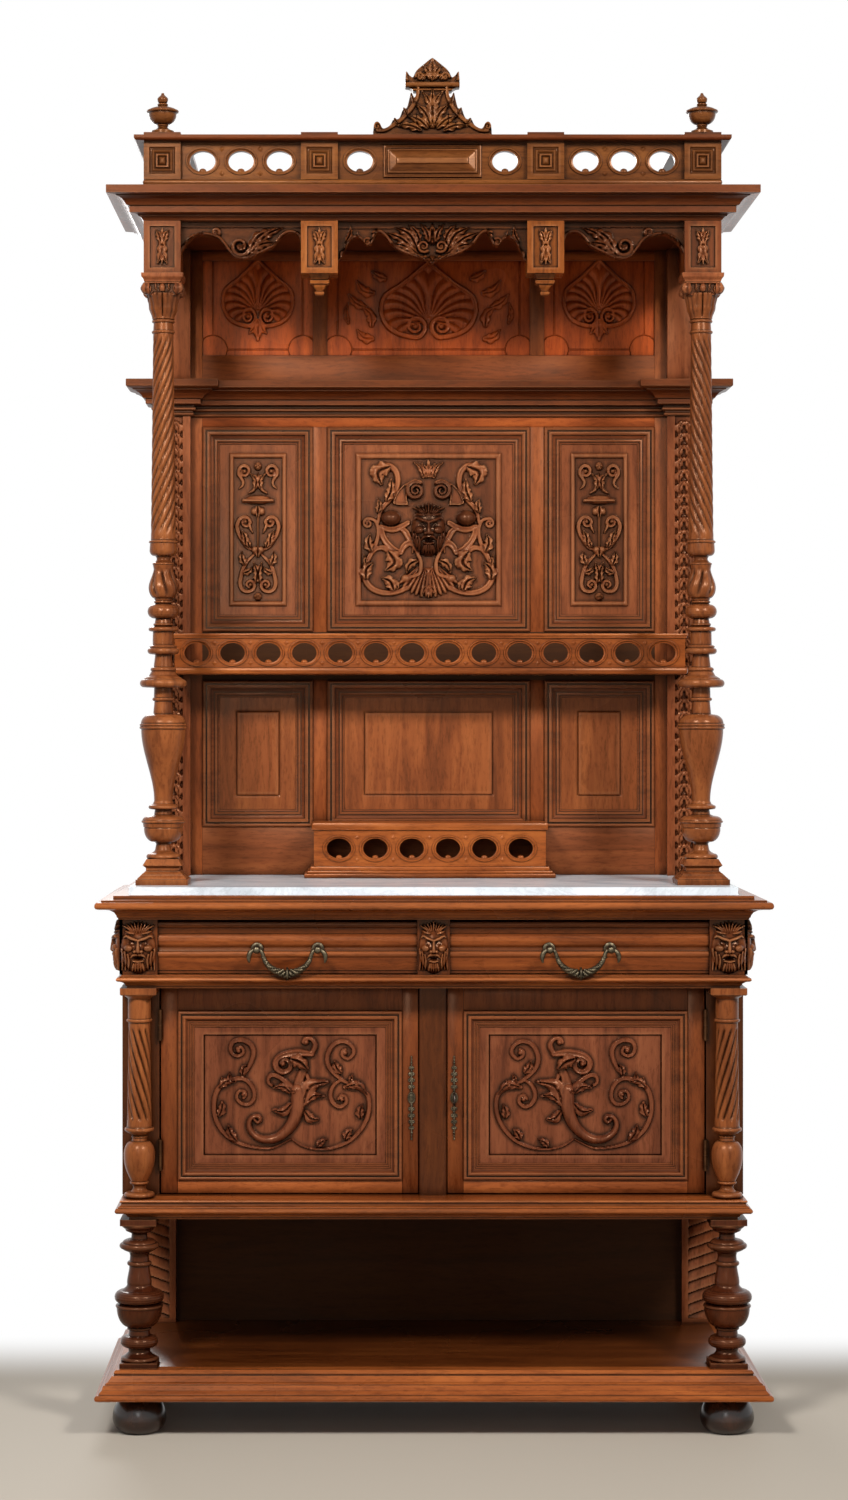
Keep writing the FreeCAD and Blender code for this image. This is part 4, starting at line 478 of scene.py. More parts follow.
upperPost = {
    "pedestal": [("line", 0, 51), ("line", 11, 51), ("line", 1, 48), ("ogee", 7, 42), ("line", 1, 40),
        ("ogee", 6, 34), ("line", 1, 32), ("line", 6, 32), ("line", 5, 38), ("line", 12, 31)],
    "rows": [("line", 0, 30), ("bead", 10, 26), ("cove", 8, 16), ("line", 11, 14), ("line", 3, 16),
        ("line", 1, 20), ("swell", 26, 38), ("line", 2, 37), ("line", 1, 39), ("line", 8, 40),
        ("bead", 5, 41), ("shoulder", 9, 25), ("line", 3, 18), ("line", 9, 16.5), ("line", 1, 25),
        ("bead", 8, 25), ("line", 3, 20), ("ogee", 6, 18), ("belly", 140, 43.5), ("bead", 6, 44),
        ("bead", 5, 44), ("shoulder", 18, 24), ("line", 1, 19.5), ("ogee", 25, 17.6), ("bead", 7, 18.5),
        ("line", 19, 18), ("line", 1, 38), ("bead", 16, 38), ("ogee", 9, 27), ("line", 7, 23),
        ("bead", 8, 19), ("line", 24, 16), ("line", 1, 24), ("bead", 12, 26), ("line", 4, 27),
        ("line", 3, 21), ("line", 25, 20.5), ("line", 1, 25), ("bead", 8, 25), ("line", 2, 16),
        ("bead", 6, 17), ("line", 8, 15.5), ("line", 1, 17), ("bead", 28, 17), ("line", 2, 15.5),
        ("bead", 5, 16), ("line", 5, 18), ("swell", 20, 28.5), ("belly", 38, 19), ("line", 8, 20.5),
        ("bead", 4, 18), ("cove", 12, 15), ("line", 1, 18), ("swell", 11, 27), ("line", 14, 26),
        ("bead", 5, 26), ("line", 2, 24.5), ("shaft", 404, 20), ("bead", 6, 20), ("line", 15, 19),
        ("bead", 6, 20), ("line", 2, 22), ("ogee", 22, 29), ("ogee", 26, 34)],
    "axis": (528, -100), "foot": 1053, "count": 10, "pitch": 265, "depth": 4.6,
}


def makeUpperColumns():
    look, bm = upperPost, bmesh.new()
    rows = look["rows"]
    levels = rowLevels(rows)
    shaft = next(i for i, row in enumerate(rows) if row[0] == "shaft")
    bulb = [i for i, row in enumerate(rows) if row[0] == "swell"][1]
    bulbFoot, bulbTop = levels[bulb - 1], levels[bulb + 1]
    bellFoot, bellTop = levels[-3], levels[-1]
    foot = look["foot"]
    rise = rowLevels(look["pedestal"])[-1]
    for hand, x, y in standing(look["axis"]):
        flutes = twistedFlutes(levels[shaft - 1] + 14, levels[shaft] - 8, look["count"], look["pitch"],
                               look["depth"], -hand)

        def carve(angle, z, radius):
            # Twisted flutes, swirling leaves round the bulb and lobes round the bell
            leaves = 1 - abs(math.sin(3 * angle - hand * (z - bulbFoot) / 26))
            veins = math.cos(18 * angle - hand * (z - bulbFoot) / 7)
            swirl = fadeBetween(z, bulbFoot, bulbTop, 10) * (5.4 * leaves ** 1.6 - 0.5 * veins)
            share = (z - bellFoot) / (bellTop - bellFoot)
            lobes = 5.0 * (1 - abs(math.sin(4 * angle))) ** 4
            folds = 1.6 * share * (math.cos(8 * angle) - abs(math.sin(12 * angle)))
            return (flutes(angle, z, radius) - swirl
                    + fadeBetween(z, bellFoot, bellTop + 30, 10) * (folds - lobes))
        addInto(bm, turnOnLathe(look["pedestal"], square=True), (x, y, foot))
        addInto(bm, turnOnLathe(rows, 100, carve=carve), (x, y, foot + rise))
    finishPiece("upperColumns", bm, walnutTurned, ["upper_columns"])


finialCup = {
    "rows": [("line", 0, 22), ("line", 5, 22), ("line", 1, 19), ("cove", 8, 9), ("bead", 4, 9),
        ("swell", 22, 27), ("line", 1, 29), ("bead", 5, 29), ("line", 1, 26), ("ogee", 8, 9),
        ("bead", 4, 8), ("line", 1, 7), ("swell", 8, 10.5), ("belly", 10, 3), ("shoulder", 2, 0.5)],
    "axis": (528, -116),
}


def makeFinials():
    look, bm = finialCup, bmesh.new()
    base, top = (corner.z * 1000 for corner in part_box("finials"))
    stretch = (top - base) / rowLevels(look["rows"])[-1]
    rows = [(shape, rise * stretch, radius) for shape, rise, radius in look["rows"]]
    for hand, x, y in standing(look["axis"]):
        addInto(bm, turnOnLathe(rows, 56), (x, y, base))
    finishPiece("finialCups", bm, walnutAttic, ["finials"])


makeBaseColumns()
makeBalusters()
makeUpperColumns()
makeFinials()
print("turned posts done")


# Carving: a grid is pushed up by drawn stems, leaves, buds and shells

def startRelief(width, height, cell, lower=None, upper=None):
    # With edges given, the grid's rows are spread between them
    bm = bmesh.new()
    columns, rows = int(width / cell), int(height / cell)
    turn = Matrix.Rotation(pi / 2, 4, "X") @ Matrix.Diagonal((width, height, 1, 1))
    bmesh.ops.create_grid(bm, x_segments=columns, y_segments=rows, size=0.5, matrix=turn)
    spots = np.array([vert.co[:] for vert in bm.verts])
    x, z = spots[:, 0], spots[:, 2]
    order = np.lexsort((np.round(x, 3), np.round(z, 3)))
    if lower:
        z = lower(x) + (upper(x) - lower(x)) * (z / height + 0.5)
    return {"bm": bm, "x": x, "z": z, "h": np.zeros(len(x)), "ground": 0.0, "order": order,
            "shape": (rows + 1, columns + 1), "outlined": lower is not None}


def mirrored(field):
    return dict(field, x=np.abs(field["x"]))


def blurred(grid, reach):
    for axis in (0, 1):
        rim = [(reach, reach) if a == axis else (0, 0) for a in (0, 1)]
        padded = np.pad(grid, rim, mode="edge")
        span = range(grid.shape[axis])
        shifts = [np.take(padded, [i + k for i in span], axis) for k in range(2 * reach + 1)]
        grid = sum(shifts) / len(shifts)
    return grid


def finishRelief(field, back, shadeReach=4, shadeDepth=4.0):
    # Hollows get darker as painted shade with dirt, proud spots lighter as wear, stained spots and spots of
    # painted shade take their own tone, and the sides run to the back
    bm, order = field["bm"], field["order"]
    grid = field["h"][order].reshape(field["shape"])
    shadeAndDirt = np.empty(len(order))
    shadeAndDirt[order] = np.clip((blurred(grid, shadeReach) - grid) / shadeDepth, -1, 0.75).ravel()
    stainAndShade = field.get("stainAndShade", np.zeros(len(order)))
    shadeAndDirt = np.where(stainAndShade > 0, np.clip(shadeAndDirt, -0.06, 0.25) + stainAndShade, shadeAndDirt)
    layer = bm.verts.layers.float.new("hollow")
    for vert, x, z, rise, dark in zip(bm.verts, field["x"], field["z"], field["h"], shadeAndDirt):
        vert.co = (x, -rise, z)
        vert[layer] = dark
    if field["outlined"]:
        behind = vertsIn(bmesh.ops.extrude_face_region(bm, geom=bm.faces[:], use_keep_orig=True)["geom"])
    else:
        behind = vertsIn(extrudeRim(bm))
    for vert in behind:
        vert.co.y = back
        vert[layer] = 0
    if not field["outlined"]:
        bmesh.ops.pointmerge(bm, verts=vertsIn(extrudeRim(bm)), merge_co=(0, back, 0))
    return bm


def extrudeRim(bm):
    return bmesh.ops.extrude_edge_only(bm, edges=[edge for edge in bm.edges if edge.is_boundary])["geom"]


def smoothPath(points, perSpan=8):
    spots = np.array(points, float)
    padded = np.vstack([2 * spots[0] - spots[1], spots, 2 * spots[-1] - spots[-2]])
    path = []
    for a, b, c, d in zip(padded, padded[1:], padded[2:], padded[3:]):
        for t in np.arange(perSpan) / perSpan:
            path.append(0.5 * (2 * b + (c - a) * t + (2 * a - 5 * b + 4 * c - d) * t ** 2
                               + (3 * b - a - 3 * c + d) * t ** 3))
    return np.vstack(path + [spots[-1]])


def volute(x, z, radius, start, turns, inner=0.18):
    # Points of a scroll that winds in, start in degrees, negative turns run clockwise
    steps = max(8, int(abs(turns) * 12))
    points = []
    for step in range(steps + 1):
        t = step / steps
        reach = radius * (1 - t * (1 - inner))
        angle = math.radians(start) + turns * 2 * pi * t
        points.append((x + reach * math.cos(angle), z + reach * math.sin(angle)))
    return points


def measure(field, path, reach):
    # Points near a path, how far each lies from it and how far along it
    x, z = field["x"], field["z"]
    low, high = path.min(0) - reach, path.max(0) + reach
    near = np.nonzero((x > low[0]) & (x < high[0]) & (z > low[1]) & (z < high[1]))[0]
    run = path[1:] - path[:-1]
    length = np.hypot(run[:, 0], run[:, 1]) + 1e-9
    begun = np.concatenate([[0], np.cumsum(length)])
    dx, dz = x[near, None] - path[None, :-1, 0], z[near, None] - path[None, :-1, 1]
    t = np.clip((dx * run[:, 0] + dz * run[:, 1]) / length ** 2, 0, 1)
    gap = np.hypot(dx - t * run[:, 0], dz - t * run[:, 1])
    best = gap.argmin(1)
    pick = np.arange(len(near))
    return near, gap[pick, best], (begun[best] + t[pick, best] * length[best]) / begun[-1]


def heap(field, near, rise):
    field["h"][near] = np.maximum(field["h"][near], np.where(rise > 0, field["ground"] + rise, -99))


def stem(field, points, widths, rise, hollow=0.0):
    near, gap, share = measure(field, smoothPath(points), max(widths))
    width = np.interp(share, np.linspace(0, 1, len(widths)), widths)
    q = np.clip(gap / width, 0, 1)
    body = np.sqrt(1 - q * q) - hollow * np.exp(-(q / 0.5) ** 2)
    heap(field, near, np.where(q < 1, rise * (0.6 + 0.4 * width / max(widths)) * body, 0))


def leaf(field, base, tip, width, rise, bend=0.0, lobes=4):
    base, tip = np.array(base, float), np.array(tip, float)
    across = np.array([base[1] - tip[1], tip[0] - base[0]])
    path = smoothPath([base, (base + tip) / 2 + across * bend, tip])
    near, gap, share = measure(field, path, width)
    outline = width * np.sin(pi * share ** 0.7) ** 0.8 * (0.68 + 0.32 * np.abs(np.cos(lobes * pi * share)))
    q = np.clip(gap / np.maximum(outline, 0.05), 0, 1)
    veins = 0.14 * np.cos(2 * pi * (lobes * share - 0.9 * q)) * q
    body = 0.35 + 0.65 * np.sqrt(1 - q * q) - 0.5 * np.exp(-(q / 0.16) ** 2) + veins
    heap(field, near, np.where(q < 1, rise * body, 0))


def leafSpray(field, table, rise, swell=1.0, lobes=3):
    for base, tip, width, bend, *own in table:
        leaf(field, base, tip, width * swell, rise, bend, *(own or [lobes]))


def bud(field, x, z, wide, tall, rise, petals=0):
    u, v = (field["x"] - x) / wide, (field["z"] - z) / tall
    near = np.nonzero(u * u + v * v < 1)[0]
    u, v = u[near], v[near]
    dome = rise * np.sqrt(1 - u * u - v * v)
    if petals:
        dome = dome * (0.82 + 0.18 * np.cos(petals * np.arctan2(v, u)))
    heap(field, near, dome)


def fan(field, x, z, inner, outer, start, end, ribs, rise):
    dx, dz = field["x"] - x, field["z"] - z
    reach = np.hypot(dx, dz)
    share = ((np.degrees(np.arctan2(dz, dx)) - start + 540) % 360 - 180) / (end - start)
    near = np.nonzero((reach > inner) & (reach < outer) & (share > 0) & (share < 1))[0]
    rib = np.abs(np.sin(ribs * pi * share[near]))
    edge = outer * (0.9 + 0.1 * rib)
    t = (reach[near] - inner) / (edge - inner)
    dome = np.sqrt(np.clip(1 - np.clip(2 * t - 1, -1, 1) ** 6, 0, 1))
    heap(field, near, np.where(t < 1, rise * (0.3 + 0.7 * rib ** 0.7) * (0.5 + 0.5 * t) * dome, 0))


def plate(field, outline, rise, rim):
    # A flat raised shape with a proud edge
    path = smoothPath(outline + outline[:1], 4)
    x, z = field["x"], field["z"]
    inside = np.zeros(len(x), bool)
    for (ax, az), (bx, bz) in zip(path, path[1:]):
        if az != bz:
            inside ^= ((az > z) != (bz > z)) & (x < (bx - ax) * (z - az) / (bz - az) + ax)
    near, gap, share = measure(field, path, 40)
    body = np.where(gap < rim, 1.0, 0.6) * np.clip(gap / 1.5, 0, 1)
    heap(field, near, np.where(inside[near], rise * body, 0))


def frameLine(field, halfWide, halfTall, width, rise):
    gap = np.abs(np.maximum(np.abs(field["x"]) - halfWide, np.abs(field["z"]) - halfTall))
    near = np.nonzero(gap < width)[0]
    heap(field, near, rise * np.sqrt(1 - (gap[near] / width) ** 2))


def sink(field, inside, depth):
    field["h"] = np.where(inside, field["h"] - depth, field["h"])


def dent(field, x, z, wide, tall, depth):
    field["h"] -= depth * np.exp(-((field["x"] - x) / wide) ** 2 - ((field["z"] - z) / tall) ** 2)


def inRectangle(field, halfWide, halfTall):
    return (np.abs(field["x"]) < halfWide) & (np.abs(field["z"]) < halfTall)


# Door panels

doorCarving = {
    "size": (402, 294), "cell": 1.6, "recess": (166, 115), "sunk": 3.0, "centre": (277.75, 644.5),
    "face": -149,
    "horn": [(14, 10), (15, -14), (11, -38), (2, -58), (-12, -74), (-28, -84), (-46, -87), (-64, -82),
        (-77, -69), (-80, -55), (-74, -44), (-64, -41), (-58, -47), (-63, -53), (-69, -48)],
    "hornWidths": [13, 14.5, 14, 12.5, 11, 10, 9, 8, 7, 6, 5, 4.5, 4],
    "head": [(42, 80), (16, 82), (-6, 79), (-20, 73), (-28, 62), (-24, 50), (-13, 45), (-2, 50), (1, 60),
        (-6, 69), (-15, 69), (-18, 62)],
    "crook": [(42, 80), (49, 97), (41, 109), (30, 110), (25, 103), (31, 100)],
    "collar": [(2, 17), (-14, 30), (-25, 37), (-35, 39), (-42, 33), (-42, 24), (-36, 19)],
    "neck": [(16, 18), (20, 34), (26, 48)],
    "leftSpray": [(2, -86), (-35, -103), (-68, -102), (-102, -93), (-127, -76), (-142, -54), (-148, -30),
        (-147, -6), (-140, 12), (-128, 23), (-112, 30), (-95, 32), (-81, 25), (-71, 9), (-71, -8),
        (-81, -18), (-95, -16), (-104, -6), (-101, 6), (-91, 8), (-86, 1), (-91, -6)],
    "leftCurl": [(-93, 37), (-83, 50), (-75, 67), (-71, 84), (-78, 99), (-94, 107), (-110, 104), (-116, 92),
        (-112, 80), (-101, 76), (-91, 83), (-95, 93), (-104, 91)],
    "rightSpray": [(3, -86), (21, -98), (48, -105), (82, -103), (113, -91), (135, -71), (149, -47),
        (154, -23), (151, -1), (137, 12), (118, 17), (106, 15)],
    "rightCurl": [(120, 22), (106, 26), (94, 35), (79, 50), (72, 69), (77, 88), (89, 101), (106, 104),
        (120, 95), (124, 82), (114, 71), (103, 75), (101, 85), (108, 89)],
    "innerCurl": [(100, 30), (86, 20), (79, 6), (79, -6), (86, -18), (98, -23), (109, -15), (108, -4),
        (100, -1), (94, -8)],
    "leaves": [((24, -22), (78, 27), 12, 0.25, 2), ((30, -16), (70, -2), 6, 0.2, 2),
        ((28, -30), (58, -48), 8, -0.2, 2), ((2, 4), (-34, 14), 7, -0.2, 2),
        ((4, -16), (-36, -28), 8, 0.25, 2), ((-104, -90), (-121, -56), 7, 0.1, 3),
        ((-139, -42), (-133, -10), 7, -0.1, 3), ((-138, 14), (-104, 26), 7, 0.2, 3),
        ((-118, 27), (-118, 45), 4, 0, 2), ((-124, 25), (-135, 35), 4, 0, 2),
        ((-92, 38), (-86, 60), 6, 0.1, 3), ((100, 42), (86, 68), 7, 0.1, 3),
        ((108, 16), (150, 2), 7, 0.25, 3), ((116, 24), (122, 42), 4, 0, 2), ((126, 20), (137, 28), 4, 0, 2),
        ((137, -46), (141, -18), 7, 0.1, 3), ((107, -87), (121, -66), 7, 0.1, 3),
        ((52, -101), (73, -86), 6, 0.1, 3)],
    "buds": ((31, 103, 6), (-14, 61, 6), (34, 14, 5), (-101, 86, 5), (107, 82, 5), (-91, 1, 4.5),
        (101, -9, 4.5)),
}


def makeDoorPanel(hand, side):
    look = doorCarving
    field = startRelief(*look["size"], look["cell"])
    recess = inRectangle(field, *look["recess"])
    groove = inRectangle(field, *(half + 2 for half in look["recess"])) & ~recess
    sink(field, recess, look["sunk"])
    sink(field, groove, look["sunk"] + 1.5)
    drawn = dict(field, ground=-look["sunk"])
    stem(drawn, look["leftSpray"], [1.6, 2.4, 4, 5, 5.5, 5, 4.5, 4, 3.2], 9, 0.35)
    stem(drawn, look["rightSpray"], [1.6, 2.4, 3.6, 4.6, 5, 5, 4], 9, 0.35)
    stem(drawn, look["leftCurl"], [3, 5, 5.5, 5, 4, 3.2], 9, 0.35)
    stem(drawn, look["rightCurl"], [3, 5, 5.5, 5, 4.5, 4, 3.2], 9, 0.35)
    stem(drawn, look["innerCurl"], [3, 5, 5, 4.2, 3.2], 9, 0.35)
    leafSpray(drawn, look["leaves"], 10.5, 1.35)
    stem(drawn, look["neck"], [11, 9, 8], 8, 0.3)
    stem(drawn, look["horn"], look["hornWidths"], 16)
    stem(drawn, look["collar"], [5, 6, 5.5, 5, 4, 3.5], 12, 0.3)
    stem(drawn, [(34, 14), (36, 26), (33, 38)], [4, 4.5, 4], 10, 0.3)
    stem(drawn, look["head"], [6, 8, 8, 7.5, 7, 6, 5, 4], 14, 0.4)
    stem(drawn, look["crook"], [5, 6, 5, 4, 3.5], 11, 0.2)
    leaf(drawn, (0, 72), (36, 49), 15, 17, 0.1, 3)
    for x, z, radius in look["buds"]:
        bud(drawn, x, z, radius, radius, 13 if abs(x) < 40 else 9)
    bud(drawn, 12, 8, 13, 10, 18, 5)
    drawn["stainAndShade"] = np.where(recess & (drawn["h"] > 0), 0.13, 0.0)
    x, z = look["centre"]
    bm = bmesh.new()
    addInto(bm, finishRelief(drawn, 12), (x * hand, look["face"], z), flip=hand > 0)
    finishPiece(f"{side}DoorPanel", bm, walnutDoor, [f"door_{side}_panel"], f"door_{side}")


for hand, side in sides:
    makeDoorPanel(hand, side)
print("door panels carved")


# Carved panels of the upper back

backPanel = {
    "low": 1557, "high": 1985, "face": 262, "depth": 10, "cell": 1.5, "sunk": 2, "lift": 10,
    "groundStain": 0.34,
}
centreCarving = {
    "half": 205, "field": (151.5, 159), "bead": 6,
    "corner": [(105, 15), (101, 34), (93, 49), (83, 60), (72, 74), (65, 91), (64, 106), (68, 121),
        (78, 131), (92, 134), (104, 130)],
    "side": [(112, 19), (105, 4), (105, -13), (110, -30), (117, -45), (125, -61), (133, -83), (132, -102),
        (122, -119), (104, -129), (83, -132), (61, -128), (45, -121)],
    "curl": [(117, -49), (108, -40), (94, -38), (83, -45)],
    "straps": [[(98, 6), (96, -10), (88, -26), (74, -40), (58, -48)],
        [(98, 6), (84, 1), (70, 1), (57, 6), (43, 14)], [(57, 4), (47, -6), (40, -18), (28, -30)],
        [(58, -48), (52, -36), (42, -28), (30, -31), (22, -46)]],
    "wing": [(41, 50), (73, 52), (70, 70), (61, 85), (47, 97), (40, 92), (44, 70)],
    "leaves": [((80, 131), (97, 91), 17, 0.42, 4), ((84, -45), (91, -87), 16, -0.4, 4),
        ((88, 58), (78, 108), 10, 0.1, 4), ((106, 34), (105, 66), 7, 0.1, 3),
        ((118, -47), (121, -8), 10, -0.15, 3), ((129, -78), (134, -50), 5, 0, 2),
        ((130, -104), (114, -68), 12, -0.2, 3), ((72, -127), (99, -100), 13, 0.2, 3),
        ((64, -124), (76, -104), 7, 0.1, 2), ((22, -64), (46, -92), 9, 0.2, 3)],
    "petals": [((0, 108), (0, 146), 9, 0), ((4, 108), (15, 140), 8, 0.1), ((10, 106), (32, 142), 7, 0.15),
        ((0, -116), (0, -143), 6, 0), ((4, -117), (14, -141), 6, 0.1)],
}


def startBackPanel(look):
    # A sunk field inside a bead, to be carved the same on both halves
    field = startRelief(2 * look["half"], backPanel["high"] - backPanel["low"], backPanel["cell"])
    bead = look["bead"]
    wide, tall = (half - bead for half in look["field"])
    inner = inRectangle(field, wide - bead, tall - bead)
    sink(field, inner, backPanel["sunk"])
    frameLine(field, wide, tall, bead, 5)
    return field, inner, mirrored(dict(field, ground=-backPanel["sunk"]))


def setBackPanel(bm, field, inner, centre, marks=0.0):
    # Marks are stains of the carving itself; the ground between takes its own
    ground = np.where(inner & (field["h"] < -1), backPanel["groundStain"], 0.0)
    field["stainAndShade"] = np.where(marks > ground, marks, ground)
    middle = (backPanel["low"] + backPanel["high"]) / 2
    addInto(bm, finishRelief(field, backPanel["depth"]), (centre, backPanel["face"], middle))


def faceField(field, x, z, wide, tall, rise):
    # A grotesque of plain design: knitted brows, broad nose, beard and side locks on a dome, hair swept up
    u, v = wide / 35, tall / 50

    def at(*spots):
        return [(x + p * u, z + q * v) for p, q in spots]

    def thick(*widths):
        return [width * u for width in widths]
    head = dict(field, h=np.zeros(len(field["h"])), ground=0.0)
    bud(head, x, z - 2 * v, wide * 0.95, tall * 0.98, rise)
    marks = dict(field, h=np.zeros(len(field["h"])), ground=0.0)
    for s in (-1, 1):
        stem(marks, at((s, 13), (s * 11, 16), (s * 22, 21), (s * 27, 19)), thick(3.2, 3.8, 3.2, 2), 8 * u)
        stem(marks, at((s * 9, 26), (s * 17, 28), (s * 25, 31)), thick(2.4, 3.2, 2), 5 * u)
        bud(marks, x + s * 19 * u, z - 2 * v, 9 * u, 7 * v, 6.5 * u)
        bud(marks, x + s * 6 * u, z - 8 * v, 4.4 * u, 4 * v, 8 * u)
        stem(marks, at((s * 2, -14), (s * 9, -15), (s * 14, -20)), thick(2.6, 3, 2), 6 * u)
        for k in range(3):
            lock = at((s * (32 - 6 * k), -4 - 5 * k), (s * (30 - 6 * k), -24), (s * (31 - 6 * k), -44))
            stem(marks, lock, thick(2.4, 3.2, 1.6), 6 * u)
    stem(marks, at((0, 12), (0, 2), (0, -7)), thick(2.8, 3.6, 5.4), 9.5 * u)
    stem(marks, at((-10, -26), (0, -28), (10, -26)), thick(2, 3, 2), 6 * u)
    for k in range(-2, 3):
        stem(marks, at((k * 4, -32), (k * 5, -39), (k * 5.5, -46)), thick(2.8, 3.2, 1.4), 6 * u)
    for s in (-1, 1):
        dent(marks, x + s * 11 * u, z + 8.5 * v, 6 * u, 4 * v, 7 * u)
        eye = dict(marks, h=np.zeros(len(field["h"])))
        bud(eye, x + s * 11 * u, z + 8 * v, 4.4 * u, 3 * v, 4 * u)
        marks["h"] += eye["h"]
    dent(marks, x, z - 21 * v, 9 * u, 2.6 * v, 7 * u)
    shape = head["h"] + marks["h"]
    heap(field, np.arange(len(shape)), np.where((head["h"] > 0) | (marks["h"] > 0.4), shape, 0))
    for k in range(-4, 5):
        plume = at((k * 1.6, 20), (k * 4.2, 34), (k * 7.4, 49 - abs(k) * 2))
        stem(field, plume, thick(1.8, 3.4, 1.6), rise)


def makeCentrePanel():
    look, bm = centreCarving, bmesh.new()
    field, inner, drawn = startBackPanel(look)
    lift = backPanel["lift"]
    stem(drawn, look["corner"], [4, 5, 6, 6.5, 7, 7, 6], lift, 0.3)
    stem(drawn, volute(126, 13, 10, 100, -1.4)[::-1] + look["side"],
         [3, 3.5, 4, 4.5, 5.5, 6, 7, 7, 7, 6.5, 6], lift, 0.3)
    stem(drawn, look["curl"], [4, 5.5, 6.5, 6], lift, 0.3)
    plate(drawn, look["wing"], lift, 4)
    for path in look["straps"]:
        stem(drawn, path, [6, 7.5, 7.5, 6], lift, 0.5)
    leafSpray(drawn, look["leaves"], lift * 1.35, 1.15)
    leafSpray(drawn, look["petals"], lift, lobes=2)
    fan(drawn, 0, -58, 22, 84, 270, 322, 7, lift)
    stem(drawn, [(22, -50), (16, -70), (20, -92), (44, -100)], [5, 5, 4.5, 4], lift * 1.2, 0.3)
    bud(drawn, 47, -102, 11, 10, lift * 1.2)
    stem(drawn, volute(27, 81, 18.5, 120, -2.0), [6, 6, 5, 4, 3], lift * 2.2, 0.25)
    bud(drawn, 78.5, 24, 21, 16.5, lift * 2.4)
    faceField(dict(field, ground=-backPanel["sunk"]), 0, 0, 37, 55, 26)
    # Face, horns and ears are darker than the rest
    x, z = drawn["x"], field["z"]
    dark = np.hypot(x / 38, (z + 2) / 58) < 1
    dark |= np.hypot(x - 27, z - 81) < 21
    dark |= np.hypot((x - 78.5) / 21, (z - 24) / 16) < 1
    setBackPanel(bm, field, inner, 0, np.where(dark & (field["h"] > 5), 0.68, 0.0))
    finishPiece("centreCarvedPanel", bm, walnutCarved, ["carved_back_panels"])


sideCarving = {
    "centre": 355, "half": 111, "field": (60, 159), "bead": 5,
    "heart": [(10, -42), (20, -38), (28, -30), (38, -12), (43, 3), (42, 13), (37, 22), (29, 26), (20, 23),
        (16, 15), (21, 8), (29, 9), (32, 16), (27, 20)],
    "tail": [(18, 12), (16, 4), (11, -6)],
    "lower": [(8, -52), (22, -66), (30, -80), (35, -97), (37, -112), (33, -124), (23, -129), (12, -126),
        (7, -117), (11, -108), (20, -108), (23, -115), (18, -120)],
    "upper": [(38, 86), (32, 92), (31, 100), (35, 108), (40, 116), (38, 127), (30, 133), (21, 129),
        (19, 120), (25, 113), (33, 115), (33, 123)],
    "foot": [(7, 106), (6, 92), (9, 82), (18, 76)],
    "leaves": [((26, -33), (34, -1), 8, 0.1, 3), ((17, -38), (23, -19), 6, 0, 2),
        ((27, -74), (33, -45), 8, -0.1, 3), ((31, -91), (11, -77), 7, 0.15, 3),
        ((3, -111), (9, -67), 8, 0.1, 4), ((6, 84), (17, 117), 8, 0.25, 3), ((0, 98), (0, 119), 5, 0, 2),
        ((0, -36), (0, -59), 9, 0, 2), ((0, 50), (0, 23), 9, 0, 2)],
    "buds": ((0, 132, 8, 9), (0, 62, 28, 10), (7, 38, 8, 9), (6, -42, 8, 8), (0, -139, 8.5, 8),
        (26, 16, 4, 4), (15.5, -115, 4, 4), (28, 121, 4.5, 4.5)),
}


def makeSidePanels():
    look, bm = sideCarving, bmesh.new()
    lift = backPanel["lift"]
    for hand in (-1, 1):
        field, inner, drawn = startBackPanel(look)
        stem(drawn, look["heart"], [3, 4, 5, 5, 4.5, 4, 3.4], lift, 0.35)
        stem(drawn, look["lower"], [3, 4.5, 5, 5, 4.5, 4, 3.4], lift, 0.35)
        stem(drawn, look["upper"], [2, 4, 4.5, 4.5, 4, 3.4], lift, 0.35)
        stem(drawn, look["tail"], [3.4, 3.4, 1.6], lift, 0.2)
        stem(drawn, look["foot"], [3, 3.6, 3.6, 2.4], lift)
        stem(drawn, [(0, 24), (0, -38)], [2.6, 2.2], lift)
        stem(drawn, [(0, 60), (30, 60)], [4.4, 4.2], lift * 1.6)
        leafSpray(drawn, look["leaves"], lift * 1.3, 1.15)
        for x, z, wide, tall in look["buds"]:
            bud(drawn, x, z, wide, tall, lift * 1.35, 5 if x == 0 and wide < 10 else 0)
        setBackPanel(bm, field, inner, look["centre"] * hand)
    finishPiece("sideCarvedPanels", bm, walnutCarved, ["carved_back_panels"])


shellCarving = {
    "low": 2133, "high": 2330, "face": 262, "cell": 1.6, "bays": ((-355, 115), (0, 211), (355, 115)),
    "scroll": [(-60, 46), (-84, 61), (-97, 85), (-98, 104), (-92, 123), (-76, 136), (-54, 150), (-26, 173),
        (0, 195)],
    "hub": (0, 76), "ribs": 8, "line": (22, 14, 30),
    "sprays": [((-112, 36), (-150, 56), 11, 0.2), ((-118, 60), (-140, 104), 11, -0.2),
        ((-128, 100), (-168, 130), 10, 0.1), ((-110, 130), (-150, 158), 11, 0.2),
        ((-86, 160), (-120, 178), 10, 0.1), ((-166, 66), (-168, 112), 6, 0.1)],
}


